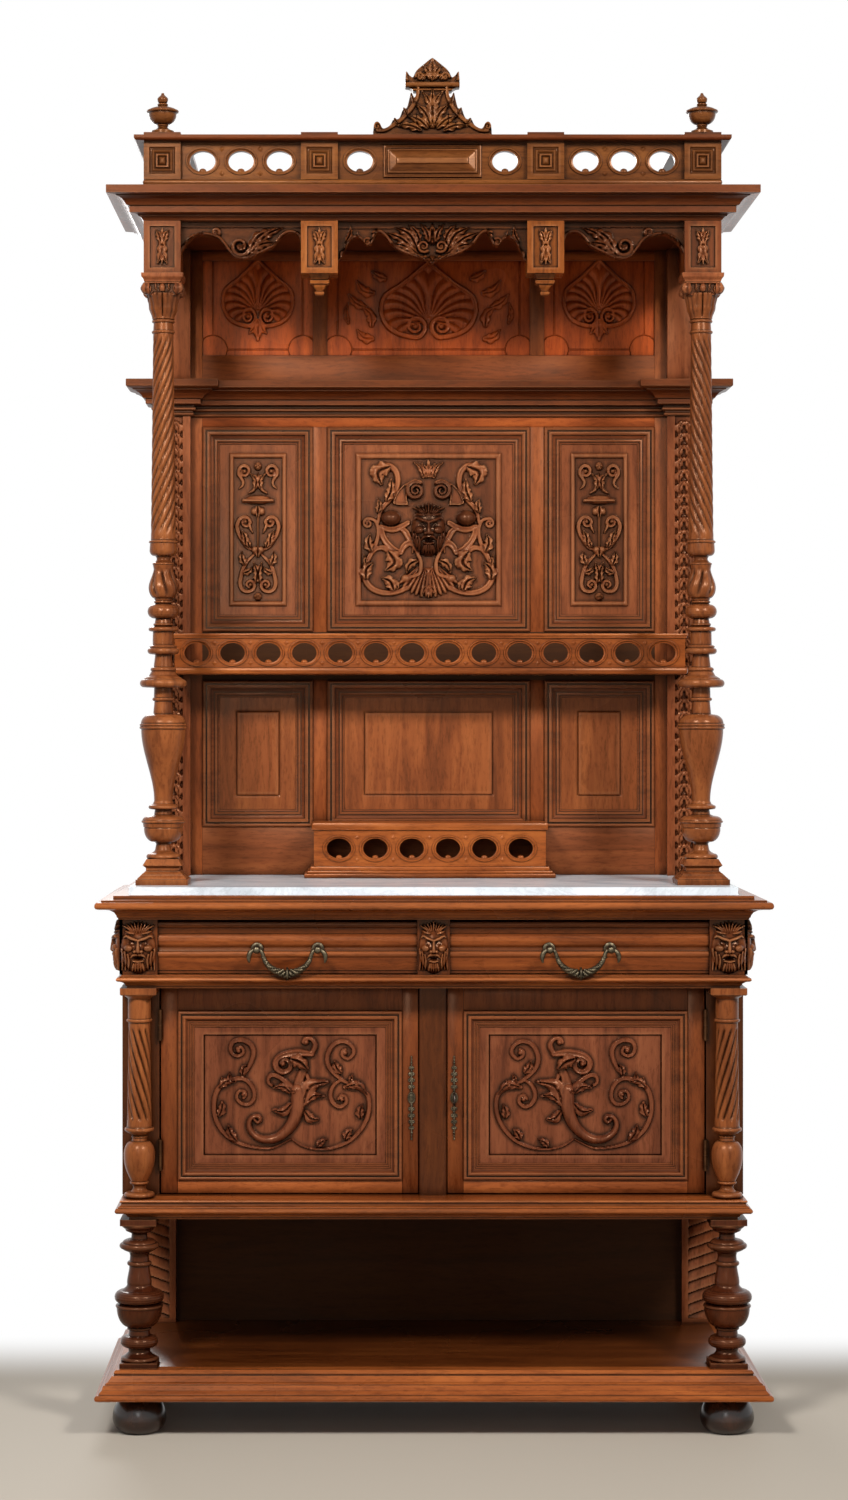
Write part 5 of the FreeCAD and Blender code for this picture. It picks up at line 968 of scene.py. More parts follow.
def shellRibs(field, outline, hub, ribs, rise):
    # Ribs run out from the hub to the outline, bowed a little
    path = smoothPath(outline) - np.array(hub)
    turns = np.arctan2(path[:, 1], path[:, 0]) % (2 * pi)
    order = np.argsort(turns)
    dx, dz = field["x"] - hub[0], field["z"] - hub[1]
    turn = np.arctan2(dz, dx) % (2 * pi)
    reach = np.hypot(dx, dz) / np.interp(turn, turns[order], np.hypot(path[:, 0], path[:, 1])[order])
    near = np.nonzero((reach < 1) & (turn > pi / 2 - 0.01) & (turn < turns.max()))[0]
    share = (turn[near] - pi / 2) / (turns.max() - pi / 2) + 0.10 * np.sin(pi * reach[near])
    rib = np.abs(np.cos(ribs * pi * share))
    tip = np.sqrt(np.clip(1 - reach[near] ** 8, 0, 1))
    heap(field, near, rise * (0.15 + 0.85 * rib) * tip * np.clip(reach[near] * 2.4, 0.25, 1) + 0.01)


def makeShellPanels():
    look, bm = shellCarving, bmesh.new()
    tall = look["high"] - look["low"] + 2
    for centre, half in look["bays"]:
        wide = half > 150
        field = startRelief(2 * half, tall, look["cell"])
        # An incised line follows the edge, rounded about its lower corners
        x, z = np.abs(field["x"]), field["z"] + tall / 2
        inset, foot, bend = look["line"]
        gap = np.abs(np.maximum(x - (half - inset), foot - z))
        notch = np.hypot(x - (half - inset), z - foot)
        sink(field, np.where(notch < bend, np.abs(notch - bend), gap) < 1.6, 1.8)
        drawn = dict(field, x=-x, z=z) if wide else dict(field, x=-x / 0.74, z=(z - 28) * 1.13)
        shellRibs(drawn, look["scroll"], look["hub"], look["ribs"], 5)
        stem(drawn, volute(-27, 62, 23, 270, 1.6, 0.2)[::-1] + look["scroll"],
             [3, 4, 5, 5.5, 5.5, 5, 5, 4.5, 4], 8, 0.4)
        bud(drawn, -27, 62, 6, 6, 8)
        if wide:
            leafSpray(drawn, look["sprays"], 6)
        else:
            leaf(drawn, (0, 56), (0, 2), 15, 7, 0, 3)
            leaf(drawn, (-4, 52), (-26, 20), 12, 6, 0.1, 3)
        addInto(bm, finishRelief(field, 10, 4, 7.0), (centre, look["face"], look["low"] + tall / 2 - 1))
    finishPiece("shellPanels", bm, walnutShell, ["shell_panels"])


makeCentrePanel()
makeSidePanels()
makeShellPanels()
print("back panels carved")


# Scaled and leafy strips

huskStrip = {
    "width": 69, "carved": 30, "pitch": 25, "centre": 528, "y": (225, 256), "low": 1053, "high": 2005,
    "upper": (2075, 2350), "cell": 2.2, "sunk": 4,
}
scaleStrip = {
    "width": 80, "carved": 66, "pitch": 40, "centre": 564, "y": (230, 280), "low": 128, "high": 414,
    "cell": 1.8, "sunk": 7,
}


def makePilasters():
    look, bm = huskStrip, bmesh.new()
    tall, half, pitch = look["high"] - look["low"], look["width"] / 2, look["pitch"]
    front, back = look["y"]
    for hand in (-1, 1):
        field = startRelief(look["width"], tall, look["cell"])
        sink(field, np.abs(field["x"]) < look["carved"] / 2 + 2, look["sunk"])
        drawn = dict(field, ground=-look["sunk"])
        z = -tall / 2 + 8
        while z < tall / 2 - pitch:
            for s in (-1, 1):
                leaf(drawn, (s * 2, z + pitch * 1.3), (s * 9, z), 9, 7, 0.15 * s, 2)
            bud(drawn, 0, z + 4, 4, 6, 7)
            z += pitch
        x = look["centre"] * hand
        addInto(bm, finishRelief(field, back - front, 4, 9.0), (x, front, look["low"] + tall / 2))
        addBoard(bm, (x - half, x + half), look["y"], look["upper"])
    finishPiece("upperPilasters", bm, walnutCarved, ["upper_pilasters"])


def makeNichePilasters():
    look, bm = scaleStrip, bmesh.new()
    tall, pitch = look["high"] - look["low"], look["pitch"] / 1.75
    front, back = look["y"]
    for hand in (-1, 1):
        field = startRelief(look["width"], tall, look["cell"])
        x, z = field["x"], field["z"] + tall / 2
        strip = (np.abs(x - 6 * hand) < look["carved"] / 2) & (z > 8) & (z < tall - 8)
        slant = ((tall - z) + 0.35 * (x * hand + 33)) % pitch / pitch
        field["h"] = np.where(strip, -look["sunk"] + look["sunk"] * slant ** 0.7, 0)
        middle = (look["centre"] * hand, front, look["low"] + tall / 2)
        addInto(bm, finishRelief(field, back - front), middle)
    finishPiece("nichePilasters", bm, walnutCarved, ["niche_pilasters"])


makePilasters()
makeNichePilasters()
print("pilasters carved")


# Front aprons under the cornice

apronCarving = {
    "top": 2350, "face": -112, "thick": 24, "cell": 1.5, "sunk": 4, "stainAndShade": 0.14, "centreSize": (370, 84),
    "sideSize": (235, 70), "sideCentre": 374.5,
    "sideEdge": [(-117.5, 2306), (-110, 2327), (-92, 2331), (-78, 2322), (-66, 2306), (-51, 2297),
        (-36, 2290), (-19, 2282), (-4, 2279), (11, 2282), (22, 2292), (31, 2304), (41, 2317), (54, 2324),
        (76, 2327), (95, 2320), (111, 2304), (117.5, 2290)],
    "centreEdge": [(0, 2268), (10, 2276), (35, 2284), (60, 2294), (80, 2308), (94, 2326), (106, 2332),
        (113, 2319), (120, 2308), (128, 2305), (135, 2313), (148, 2322), (162, 2314), (172, 2294),
        (180, 2279), (185, 2275)],
    "centreLeaves": [((3, 2306), (0, 2349), 8, 0), ((6, 2310), (24, 2348), 9, 0.1),
        ((24, 2312), (48, 2346), 9, 0.1), ((30, 2300), (74, 2340), 12, 0.15),
        ((34, 2292), (92, 2330), 11, 0.1), ((26, 2286), (84, 2308), 9, 0.1),
        ((6, 2280), (34, 2290), 8, -0.2), ((176, 2296), (146, 2334), 9, 0.25),
        ((170, 2310), (160, 2344), 7, 0.1)],
    "centreCurls": ((17, 2303, 12, 230, 1.5), (112, 2324, 8, 60, 1.2), (128, 2311, 8, 120, -1.2),
        (171, 2285, 9, 40, -1.3)),
    "sideLeaves": [((-12, 2284), (-70, 2310), 11, -0.15), ((-16, 2290), (-66, 2338), 13, -0.15),
        ((-30, 2304), (-84, 2340), 10, -0.1), ((-20, 2288), (-22, 2324), 8, 0.25),
        ((112, 2306), (74, 2334), 9, 0.2), ((104, 2316), (78, 2328), 7, 0),
        ((4, 2294), (-8, 2312), 7, 0.1)],
    "sideCurls": ((2, 2303, 19, 200, 1.5), (-109, 2317, 10, 90, 1.3), (50, 2331, 7, 200, -1.2)),
}


def edgeCurve(points):
    path = smoothPath(points, 10)
    order = np.argsort(path[:, 0])
    return lambda x: np.interp(x, path[order, 0], path[order, 1])


def startApron(size, lower, plain):
    look = apronCarving
    field = startRelief(*size, look["cell"], lower=lower,
                        upper=lambda x: np.full(len(x), float(look["top"])))
    sink(field, field["z"] < look["top"] - plain, look["sunk"])
    field["stainAndShade"] = np.full(len(field["x"]), look["stainAndShade"])
    return field


def carveApron(drawn, part, edge, edgeWidths, curlWidths, eye):
    look = apronCarving
    stem(drawn, edge, edgeWidths, 11, 0.25)
    leafSpray(drawn, look[part + "Leaves"], 13, lobes=4)
    for x, z, radius, start, turns in look[part + "Curls"]:
        stem(drawn, volute(x, z, radius, start, turns), curlWidths, 15, 0.2)
        bud(drawn, x, z, eye, eye, 16)


def makeAprons():
    look, bm = apronCarving, bmesh.new()
    centreEdge, sideEdge = edgeCurve(look["centreEdge"]), edgeCurve(look["sideEdge"])
    field = startApron(look["centreSize"], lambda x: centreEdge(np.abs(x)), 12)
    drawn = mirrored(dict(field, ground=-look["sunk"]))
    carveApron(drawn, "centre", look["centreEdge"][1:], [6, 6, 5, 5], [4, 3.6, 3], 3.6)
    bud(drawn, 0, 2276, 10, 10, 19, 5)
    addInto(bm, finishRelief(field, look["thick"]), (0, look["face"], 0))
    for hand in (-1, 1):
        field = startApron(look["sideSize"], sideEdge, 10)
        drawn = dict(field, ground=-look["sunk"])
        carveApron(drawn, "side", look["sideEdge"], [6, 5, 6, 5, 6], [5, 4.5, 3.4], 4)
        place = (look["sideCentre"] * hand, look["face"], 0)
        addInto(bm, finishRelief(field, look["thick"]), place, flip=hand < 0)
    finishPiece("frontAprons", bm, walnutApron, ["front_aprons"])


makeAprons()
print("aprons carved")


# Crest

crestCarving = {
    "low": 2515, "footSize": (232, 110), "crownSize": (106, 62), "face": -122, "back": -100, "cell": 1.3,
    "foot": [(0, 104), (27, 104), (31, 92), (33, 80), (37, 78), (42, 88), (45, 76), (50, 58), (57, 57),
        (61, 46), (66, 36), (76, 36), (82, 24), (90, 18), (98, 17), (103, 26), (109, 30), (114, 25),
        (116, 14)],
    "crown": [(0, 156), (6, 152), (17, 143), (28, 134), (34, 126), (38, 118), (43, 120), (49, 126),
        (52.5, 128), (53, 112)],
    "neck": ([0, 37, 39, 46, 53], [90, 90, 93, 97, 98]),
    "footLeaves": [((0, 26), (0, 96), 13, 0, 4), ((3, 30), (22, 92), 10, 0.15, 3),
        ((4, 22), (34, 66), 10, 0.1, 3), ((8, 16), (50, 42), 10, 0.1, 3), ((20, 12), (72, 22), 9, 0.1, 3),
        ((36, 66), (42, 88), 5, 0, 1), ((50, 44), (57, 58), 5, 0, 1), ((68, 26), (76, 38), 5, 0, 1)],
    "crownLeaves": [((0, 110), (0, 155), 11, 0), ((4, 112), (18, 142), 9, 0.1),
        ((14, 112), (34, 126), 8, 0.1)],
}


def makeCrest():
    look, bm = crestCarving, bmesh.new()
    foot, crown = edgeCurve(look["foot"]), edgeCurve(look["crown"])

    def setPart(field):
        addInto(bm, finishRelief(field, look["back"] - look["face"], 4, 6.5),
                (0, look["face"], look["low"]))
    field = startRelief(*look["footSize"], look["cell"], lower=lambda x: np.zeros(len(x)),
                        upper=lambda x: np.clip(foot(np.abs(x)), 6, 104))
    drawn = mirrored(field)
    limb = [(29, 98), (30, 80), (38, 62), (52, 44), (70, 28), (92, 15), (106, 14)]
    stem(drawn, limb, [4.5, 5, 5, 5, 6], 8, 0.25)
    stem(drawn, volute(108, 21, 8.5, 200, -1.2), [4, 3.5, 3], 9)
    leafSpray(drawn, look["footLeaves"], 10)
    bud(drawn, 0, 24, 8, 8, 11, 5)
    field["h"] = np.where(field["z"] < 6, np.maximum(field["h"], 9), field["h"])
    setPart(field)
    field = startRelief(*look["crownSize"], look["cell"],
                        lower=lambda x: np.interp(np.abs(x), *look["neck"]),
                        upper=lambda x: crown(np.abs(x)))
    drawn = mirrored(field)
    stem(drawn, [(0, 103), (54, 103)], [6, 6], 10)
    stem(drawn, [(0, 93), (40, 93)], [3, 3], 6)
    stem(drawn, [(50, 112), (52, 118), (50, 126)], [4, 4, 3], 9)
    stem(drawn, volute(25, 118, 8, 0, 1.3), [3.5, 3.2, 2.6], 9)
    leafSpray(drawn, look["crownLeaves"], 9)
    setPart(field)
    finishPiece("carvedCrest", bm, walnutAttic, ["crest"])


makeCrest()
print("crest carved")


# Mask blocks and frieze blocks

maskBlock = {
    "low": 885, "high": 992, "face": -226, "back": -150, "cell": 1.2, "side": 604,
    "fronts": ((-604, -531), (-31, 31), (531, 604)),
}


def makeMasks():
    look, bm = maskBlock, bmesh.new()
    tall, deep = look["high"] - look["low"], look["back"] - look["face"]
    middle = look["low"] + tall / 2
    for left, right in look["fronts"]:
        field = startRelief(right - left, tall, look["cell"])
        faceField(field, 0, 0, (right - left) * 0.48, tall * 0.47, 14)
        addInto(bm, finishRelief(field, deep), ((left + right) / 2, look["face"], middle))
    for hand in (-1, 1):
        field = startRelief(deep, tall, look["cell"])
        faceField(field, 0, 0, 34, tall * 0.47, 12)
        place = (look["side"] * hand, look["face"] + deep / 2, middle)
        addInto(bm, finishRelief(field, 6), place, turn=hand * pi / 2)
    finishPiece("maskBlocks", bm, walnutMask, ["mask_blocks"])


friezeBlock = {
    "low": 2248, "high": 2350, "half": 36, "face": -136, "back": -64, "panel": (23.5, 39.5), "sunk": 5,
    "cell": 1.3, "outer": (-528, 528), "middle": (-221, 221),
    "pendant": [("line", 0, 4), ("bead", 8, 6), ("ogee", 12, 12), ("line", 2, 18), ("line", 6, 19),
        ("line", 2, 15), ("line", 10, 20)],
}


def makeFriezeBlocks():
    look = friezeBlock
    tall = look["high"] - look["low"]
    for part, finish in (("outer", walnutStile), ("middle", walnutHoney)):
        bm = bmesh.new()
        for centre in look[part]:
            field = startRelief(2 * look["half"], tall, look["cell"])
            sink(field, inRectangle(field, *look["panel"]), look["sunk"])
            drawn = mirrored(dict(field, ground=-look["sunk"]))
            leaf(drawn, (3, 8), (13, 34), 8, 8, 0.1, 3)
            leaf(drawn, (0, 10), (0, 38), 6, 9, 0, 2)
            leaf(drawn, (2, 12), (10, -34), 10, 8, -0.1, 3)
            leaf(drawn, (0, 4), (0, -36), 6, 9, 0, 3)
            bud(drawn, 0, 8, 8, 5, 9)
            place = (centre, look["face"], look["low"] + tall / 2)
            addInto(bm, finishRelief(field, look["back"] - look["face"]), place)
        if part == "middle":
            for centre in look[part]:
                pendant = turnOnLathe(look["pendant"], square=True)
                addInto(bm, pendant, (centre, (look["face"] + look["back"]) / 2, look["low"] - 40))
        finishPiece(part + "FriezeBlocks", bm, finish, ["frieze_blocks"])


makeMasks()
makeFriezeBlocks()
print("blocks carved")


# Capitals of the upper columns

capitalLook = {
    "low": 2206, "half": 42.5, "band": 25, "axis": (528, -100), "scroll": (29.5, 12.5), "out": 31,
    "cell": 0.9, "core": [("line", 0, 27), ("line", 25, 31)],
    "abacus": [("line", 0, 35), ("line", 3, 36), ("ogee", 8, 40.5), ("line", 6, 41)],
}


def makeCapitals():
    look, bm = capitalLook, bmesh.new()
    across, radius = look["scroll"]

    def roundness(u):
        return radius * np.sqrt(np.clip(1 - ((np.abs(u) - across) / radius) ** 2, 0.02, 1))

    def lower(u):
        return np.where(np.abs(u) < across, np.minimum(-6, -roundness(u)), -roundness(u))

    def upper(u):
        return np.where(np.abs(u) < across, radius, roundness(u))
    for hand, x, y in standing(look["axis"]):
        addInto(bm, turnOnLathe(look["core"], square=True), (x, y, look["low"]))
        addInto(bm, turnOnLathe(look["abacus"], square=True), (x, y, look["low"] + look["band"]))
        for face in range(4):
            field = startRelief(2 * look["half"], look["band"], look["cell"], lower, upper)
            drawn = mirrored(field)
            stem(drawn, volute(across, 0, radius - 2.2, 90, -1.5, 0.3), [2.5, 2.5, 2.2, 2.0], 7)
            bud(drawn, across, 0, 4, 4, 8)
            bud(drawn, 0, 1, 6.5, 9, 9)
            leaf(drawn, (13, 9), (10.5, -6), 3.4, 7, 0.1, 1)
            stem(drawn, [(0, 10.5), (across, 10.5)], [2.0, 2.2], 6.5)
            # The low ground between the volute lines is painted darker: painted shade in the spiral gaps
            field["stainAndShade"] = np.where(field["h"] < 2, 0.5, 0.0)
            turn, out = face * pi / 2, look["out"]
            place = (x + out * math.sin(turn), y - out * math.cos(turn), look["low"] + look["band"] / 2)
            addInto(bm, finishRelief(field, 6, 3), place, turn)
    finishPiece("columnCapitals", bm, walnutCarved, ["upper_columns"])


makeCapitals()
print("capitals carved")


# Pierced galleries

def borderLoop(count):
    # Points round a square from -1 to 1, each on its own ray from the middle
    points = []
    for side in range(4):
        for step in range(count):
            t = 2 * step / count - 1
            points.append([(t, -1), (1, t), (-t, 1), (-1, -t)][side])
    return points


galleryLook = {
    "radii": (25, 20.5), "rim": 3.0, "thick": 12,
    "steps": ((1.34, 0), (1.30, -1), (1.20, -1), (1.14, 0.4), (1.0, 1.0), (1.0, 0)),
}


def extrudeRing(bm, edges):
    made = bmesh.ops.extrude_edge_only(bm, edges=edges)["geom"]
    verts = set(vertsIn(made))
    ring = [item for item in made if isinstance(item, bmesh.types.BMEdge) and set(item.verts) <= verts]
    return verts, ring


def addPierced(bm, cells, low, high, thick, place, turn=0.0):
    # Cells run side by side; each is drawn in from its border to an oval and through to the back
    board = bmesh.new()
    (wide, tall), rim = galleryLook["radii"], galleryLook["rim"]
    middle = (low + high) / 2
    for left, right, hole in cells:
        border, rays = [], {}

        def rayOf(co):
            return round(math.atan2((co[2] - middle) / tall, (co[0] - hole) / wide), 3)
        for u, v in borderLoop(10):
            spot = ((left + right + u * (right - left)) / 2, 0, middle + v * (high - low) / 2)
            border.append(board.verts.new(spot))
            rays[rayOf(border[-1].co)] = border[-1].co.copy()
        edges = [board.edges.new(pair) for pair in zip(border, border[1:] + border[:1])]
        for scale, lift in galleryLook["steps"] + ((0, 0),):
            verts, edges = extrudeRing(board, edges)
            if not scale or scale == 1.0 and not lift:
                depth = thick
            else:
                depth = lift * rim if lift <= 0 else lift
            for vert in verts:
                ray = min(rays, key=lambda known: abs(math.remainder(known - rayOf(vert.co), 2 * pi)))
                x, z = hole + wide * scale * math.cos(ray), middle + tall * scale * math.sin(ray)
                vert.co = (x, depth, z) if scale else (rays[ray][0], depth, rays[ray][2])
        heart = bmesh.new()
        bmesh.ops.create_uvsphere(heart, u_segments=14, v_segments=8, radius=6)
        bmesh.ops.scale(heart, vec=(1.2, 0.6, 1.0), verts=heart.verts[:])
        addInto(board, heart, (hole, 4, middle - tall + 1))
    bmesh.ops.remove_doubles(board, verts=board.verts[:], dist=0.01)
    front = [edge for edge in board.edges if edge.is_boundary and edge.verts[0].co.y < 1]
    for vert in extrudeRing(board, front)[0]:
        vert.co.y = thick
    bmesh.ops.remove_doubles(board, verts=board.verts[:], dist=0.01)
    addInto(bm, board, place, turn)


def midway(spots):
    return [(a + b) / 2 for a, b in zip(spots, spots[1:])]


def holeCells(left, right, holes):
    cuts = [left] + midway(holes) + [right]
    return list(zip(cuts, cuts[1:], holes))


def evenRow(count, pitch, middle=0.0):
    return [middle + (step - (count - 1) / 2) * pitch for step in range(count)]


def addNicks(bm, spots, low, high, y):
    # Small pointed leaves in the corners between two holes
    for x in spots:
        for z, up in ((low + 8, 1), (high - 8, -1)):
            cone = bmesh.new()
            bmesh.ops.create_cone(cone, cap_ends=True, segments=4, radius1=6.5, radius2=0.6, depth=3)
            turnAbout(cone, "X")
            addInto(bm, cone, (x, y - 1.2, z + up))


shelfGalleries = {
    "plateShelf": {
        "node": "plate_shelf", "half": 519, "low": 1482, "high": 1541, "face": 113, "count": 14,
        "pitch": 73, "nick": 0,
        "boards": [((-524, 524), (108, 256), (1468, 1482), 5), ((-522, 522), (110, 128), (1541, 1546), 1),
            ((-524, 524), (108, 130), (1545, 1551), 2)],
        "ends": [((507, 519), (124, 225), (1482, 1541), 1.2), ((502, 524), (124, 225), (1541, 1551), 2)],
    },
    "smallGallery": {
        "node": "small_gallery", "half": 236, "low": 1077, "high": 1150, "face": 121, "count": 6,
        "pitch": 74, "nick": 5,
        "boards": [((-256, 256), (116, 256), (1053, 1062), 2), ((-250, 250), (118, 254), (1061, 1068), 2),
            ((-244, 244), (119, 252), (1067, 1077), 3), ((-241, 241), (116, 248), (1150, 1166), 4)],
        "ends": [((224, 236), (132, 248), (1077, 1150), 1.2)],
    },
}


def makeShelfGalleries():
    for name, look in shelfGalleries.items():
        bm = bmesh.new()
        half, low, high, face, nick = (look[key] for key in ("half", "low", "high", "face", "nick"))
        holes = evenRow(look["count"], look["pitch"])
        addPierced(bm, holeCells(-half, half, holes), low, high, galleryLook["thick"], (0, face, 0))
        addNicks(bm, midway(holes), low + nick, high - nick, face)
        for board in look["boards"]:
            addBoard(bm, *board)
        for hand in (-1, 1):
            for x, *rest in look["ends"]:
                addBoard(bm, sorted(hand * edge for edge in x), *rest)
        finishPiece(name, bm, walnutX, [look["node"]])


atticLook = {
    "low": 2431, "high": 2505, "board": (-124, -108), "face": -136, "back": -96,
    "centres": (-528, -221, 221, 528), "half": 36, "pitch": 75, "bay": (257, 492), "bayCentre": 374.5,
    "single": (97, 185, 142), "tablet": 97, "sideFace": 552, "rear": 274,
    "sideBase": ((529, 569), (-98, 274), (2409, 2431), 4),
    "bases": [((-569, 569), (-141, -96), (2409, 2420), 3), ((-566, 566), (-139, -97), (2419, 2431), 5)],
    "tabletProfile": ([0, 1, 4, 5, 8, 9, 12, 13, 26, 27, 30, 33], [0, 3, 4, 2, 2, 5, 6, 4, 8, 11, 12, 12]),
    "blockProfile": ([0, 11, 12.5, 16, 17, 19, 20.5, 23, 24, 27, 28, 36],
        [0, 0, -4, -4, -1, -1, -4, -5, -2, -2, -6, 1]),
}


def steppedBoard(halfWide, tall, cell, profile):
    # Heights follow the distance from the nearest edge
    field = startRelief(2 * halfWide, tall, cell)
    inset = np.minimum(halfWide - np.abs(field["x"]), tall / 2 - np.abs(field["z"]))
    field["h"] = np.interp(inset, *profile)
    return field


def makeAttic():
    look, bm = atticLook, bmesh.new()
    low, high, rear, back = look["low"], look["high"], look["rear"], look["back"]
    middle = (low + high) / 2
    front, thick = look["board"][0], look["board"][1] - look["board"][0]
    run = (rear - back) / 2
    sideRow = holeCells(-run, run, evenRow(4, look["pitch"]))
    for hand in (-1, 1):
        holes = evenRow(3, look["pitch"], look["bayCentre"] * hand)
        bay = holeCells(*sorted(hand * x for x in look["bay"]), holes)
        addPierced(bm, bay, low, high, thick, (0, front, 0))
        addNicks(bm, midway(holes), low + 4, high - 4, front)
        addPierced(bm, sideRow, low, high, thick, (look["sideFace"] * hand, (rear + back) / 2, 0),
                   hand * pi / 2)
        x, *rest = look["sideBase"]
        addBoard(bm, sorted(hand * edge for edge in x), *rest)
    for hand in (-1, 1):
        inner, outer, hole = (x * hand for x in look["single"])
        addPierced(bm, [(*sorted((inner, outer)), hole)], low, high, thick, (0, front, 0))
    addBoard(bm, (-look["tablet"], look["tablet"]), look["board"], (low, high), 0)
    for board in look["bases"]:
        addBoard(bm, *board)
    tablet = steppedBoard(look["tablet"], high - low - 8, 2.0, look["tabletProfile"])
    addInto(bm, finishRelief(tablet, 1), (0, front, middle))
    for centre in look["centres"]:
        block = steppedBoard(look["half"], high - low, 1.5, look["blockProfile"])
        addInto(bm, finishRelief(block, back - look["face"]), (centre, look["face"], middle))
    finishPiece("atticGallery", bm, walnutAttic, ["attic_gallery"])


makeShelfGalleries()
makeAttic()
print("galleries pierced")


# Mouldings and flat work

def addMitredFrame(bm, centre, outer, profile, face):
    # Profile runs from the outer edge in, each point an inset and a rise towards the front
    halfWide, halfTall = outer[0] / 2, outer[1] / 2
    corners = ((-1, -1), (1, -1), (1, 1), (-1, 1))

    def loopAt(inset, rise, dark):
        wide, tall = halfWide - inset, halfTall - inset
        return [markVert(bm, (centre[0] + u * wide, face - rise, centre[1] + v * tall), dark)
                for u, v in corners]
    hollowLayer(bm)
    loops = [loopAt(*point) for point in shadedWornProfile(profile, -1)]
    rings = [[bm.edges.new(pair) for pair in zip(loop, loop[1:] + loop[:1])] for loop in loops]
    for first, second in zip(rings, rings[1:] + rings[:1]):
        bmesh.ops.bridge_loops(bm, edges=first + second)


def addRun(bm, profile, stations, level):
    # Profile points are how far out and how far up; a station is a plan spot and its mitre's direction
    face, grown = None, None
    hollowLayer(bm)
    marked = shadedWornProfile(profile)
    for (x, y), (dx, dy) in stations:
        spots = [(x + dx * out, y + dy * out, level + up) for out, up, dark in marked]
        if face is None:
            face = bm.faces.new([markVert(bm, spot, mark[2]) for spot, mark in zip(spots, marked)])
        else:
            made = bmesh.ops.extrude_face_region(bm, geom=[face], use_keep_orig=grown is None)["geom"]
            grown = face = next(item for item in made if isinstance(item, bmesh.types.BMFace))
            for vert, spot in zip(face.verts, spots):
                vert.co = spot


runLook = {
    "plinth": {
        "name": "plinth", "finish": walnutX,
        "profile": [(0, 0), (66, 0), (69, 2), (70, 6), (69, 10), (66, 12), (63, 12.5), (62.5, 14), (57, 20),
            (54, 29), (51, 29.5), (50.5, 31.5), (46, 34), (39, 44), (35, 44.5), (34.5, 46), (35.5, 48),
            (35, 51), (32, 54), (0, 54)],
        "half": 648, "front": -280, "reach": 70, "level": 74,
        "boards": [((-579, 579), (-211, 251), (106, 128)), ((-579, 579), (250, 280), (74, 128))],
    },
    "cupboard_floor": {
        "name": "cupboardFloor", "finish": walnutX,
        "profile": [(0, 0), (45, 0), (45, 4), (48, 5), (50, 9), (56, 12), (62, 13), (67.5, 13.5),
            (70.3, 16), (71, 18.5), (70.3, 21), (67.5, 23.5), (65.5, 24), (65, 26), (61, 28), (59, 31),
            (59, 33.5), (61.5, 34.5), (62, 36), (61, 38), (0, 38)],
        "half": 612, "front": -246, "reach": 71, "level": 414,
        "boards": [((-542, 542), (-176, 251), (430, 452)), ((-542, 542), (250, 280), (414, 452))],
    },
    "drawer_floor": {
        "name": "drawerFloor", "finish": walnutX,
        "profile": [(0, 0), (50, 0), (50, 4), (52, 5), (54, 9), (59, 12), (62, 13), (66, 13.5), (69, 15),
            (70, 17.5), (69, 20), (66, 21.5), (63, 22), (63, 23.5), (60, 24), (60, 26), (0, 26)],
        "half": 610, "front": -243, "reach": 70, "level": 859,
        "boards": [((-540, 540), (-173, 251), (859, 879)), ((-540, 540), (250, 280), (859, 885)),
            ((33, 53), (-173, 250), (878, 885)), ((509, 529), (-173, 250), (878, 885)),
            ((-53, -33), (-173, 250), (878, 885)), ((-529, -509), (-173, 250), (878, 885))],
    },
    "cornice": {
        "name": "cornice", "finish": walnutShadedUpper,
        "profile": [(0, 0), (58, 0), (64, 0.5), (66, 2), (67, 4), (70, 6.5), (74, 7.5), (74, 9), (76, 10.5),
            (80, 11.5), (89, 12), (90, 13), (90, 24), (91, 25), (94, 25.5), (96, 27), (99, 32), (104, 37),
            (110, 40), (114, 41), (114, 42.5), (122, 43), (130, 43.5), (132, 44), (132, 58.5), (131.5, 59),
            (0, 59)],
        "half": 632, "front": -205, "reach": 132, "level": 2350, "boards": [],
    },
    "top_frame": {
        "name": "topFrame", "finish": walnutX,
        "profile": [(0, 0), (58, 0), (58, 3), (60, 4), (61, 8), (65, 14), (73, 18.5), (82, 20), (92, 20.5),
            (97.5, 22), (99.6, 25), (100, 27.5), (99.3, 31), (97, 34), (92, 35), (89, 35), (88, 36),
            (88, 38.5), (68, 39.5), (66.5, 40), (66.3, 46), (39.3, 46), (39.3, 41), (0, 41)],
        "half": 648, "front": -280, "reach": 100, "level": 992,
        "boards": [((-549, 549), (-181, 251), (1013, 1033)), ((-549, 549), (250, 280), (992, 1033))],
    },
}
midRun = {
    "profile": [(0, 0), (5, 0), (7, 2), (7, 4), (5, 6), (5, 9), (8, 10), (11, 12), (11, 15), (9, 17),
        (9, 20), (12, 21), (20, 22), (22, 23), (22, 32), (24, 33), (27, 34), (30, 39), (35, 44), (42, 48),
        (47, 49.5), (47, 51), (50, 52), (57, 54), (60, 56), (60, 69), (59, 70), (0, 70)],
    "level": 2005, "outer": 562.5, "inner": 493.5, "wall": 256, "face": 225,
}


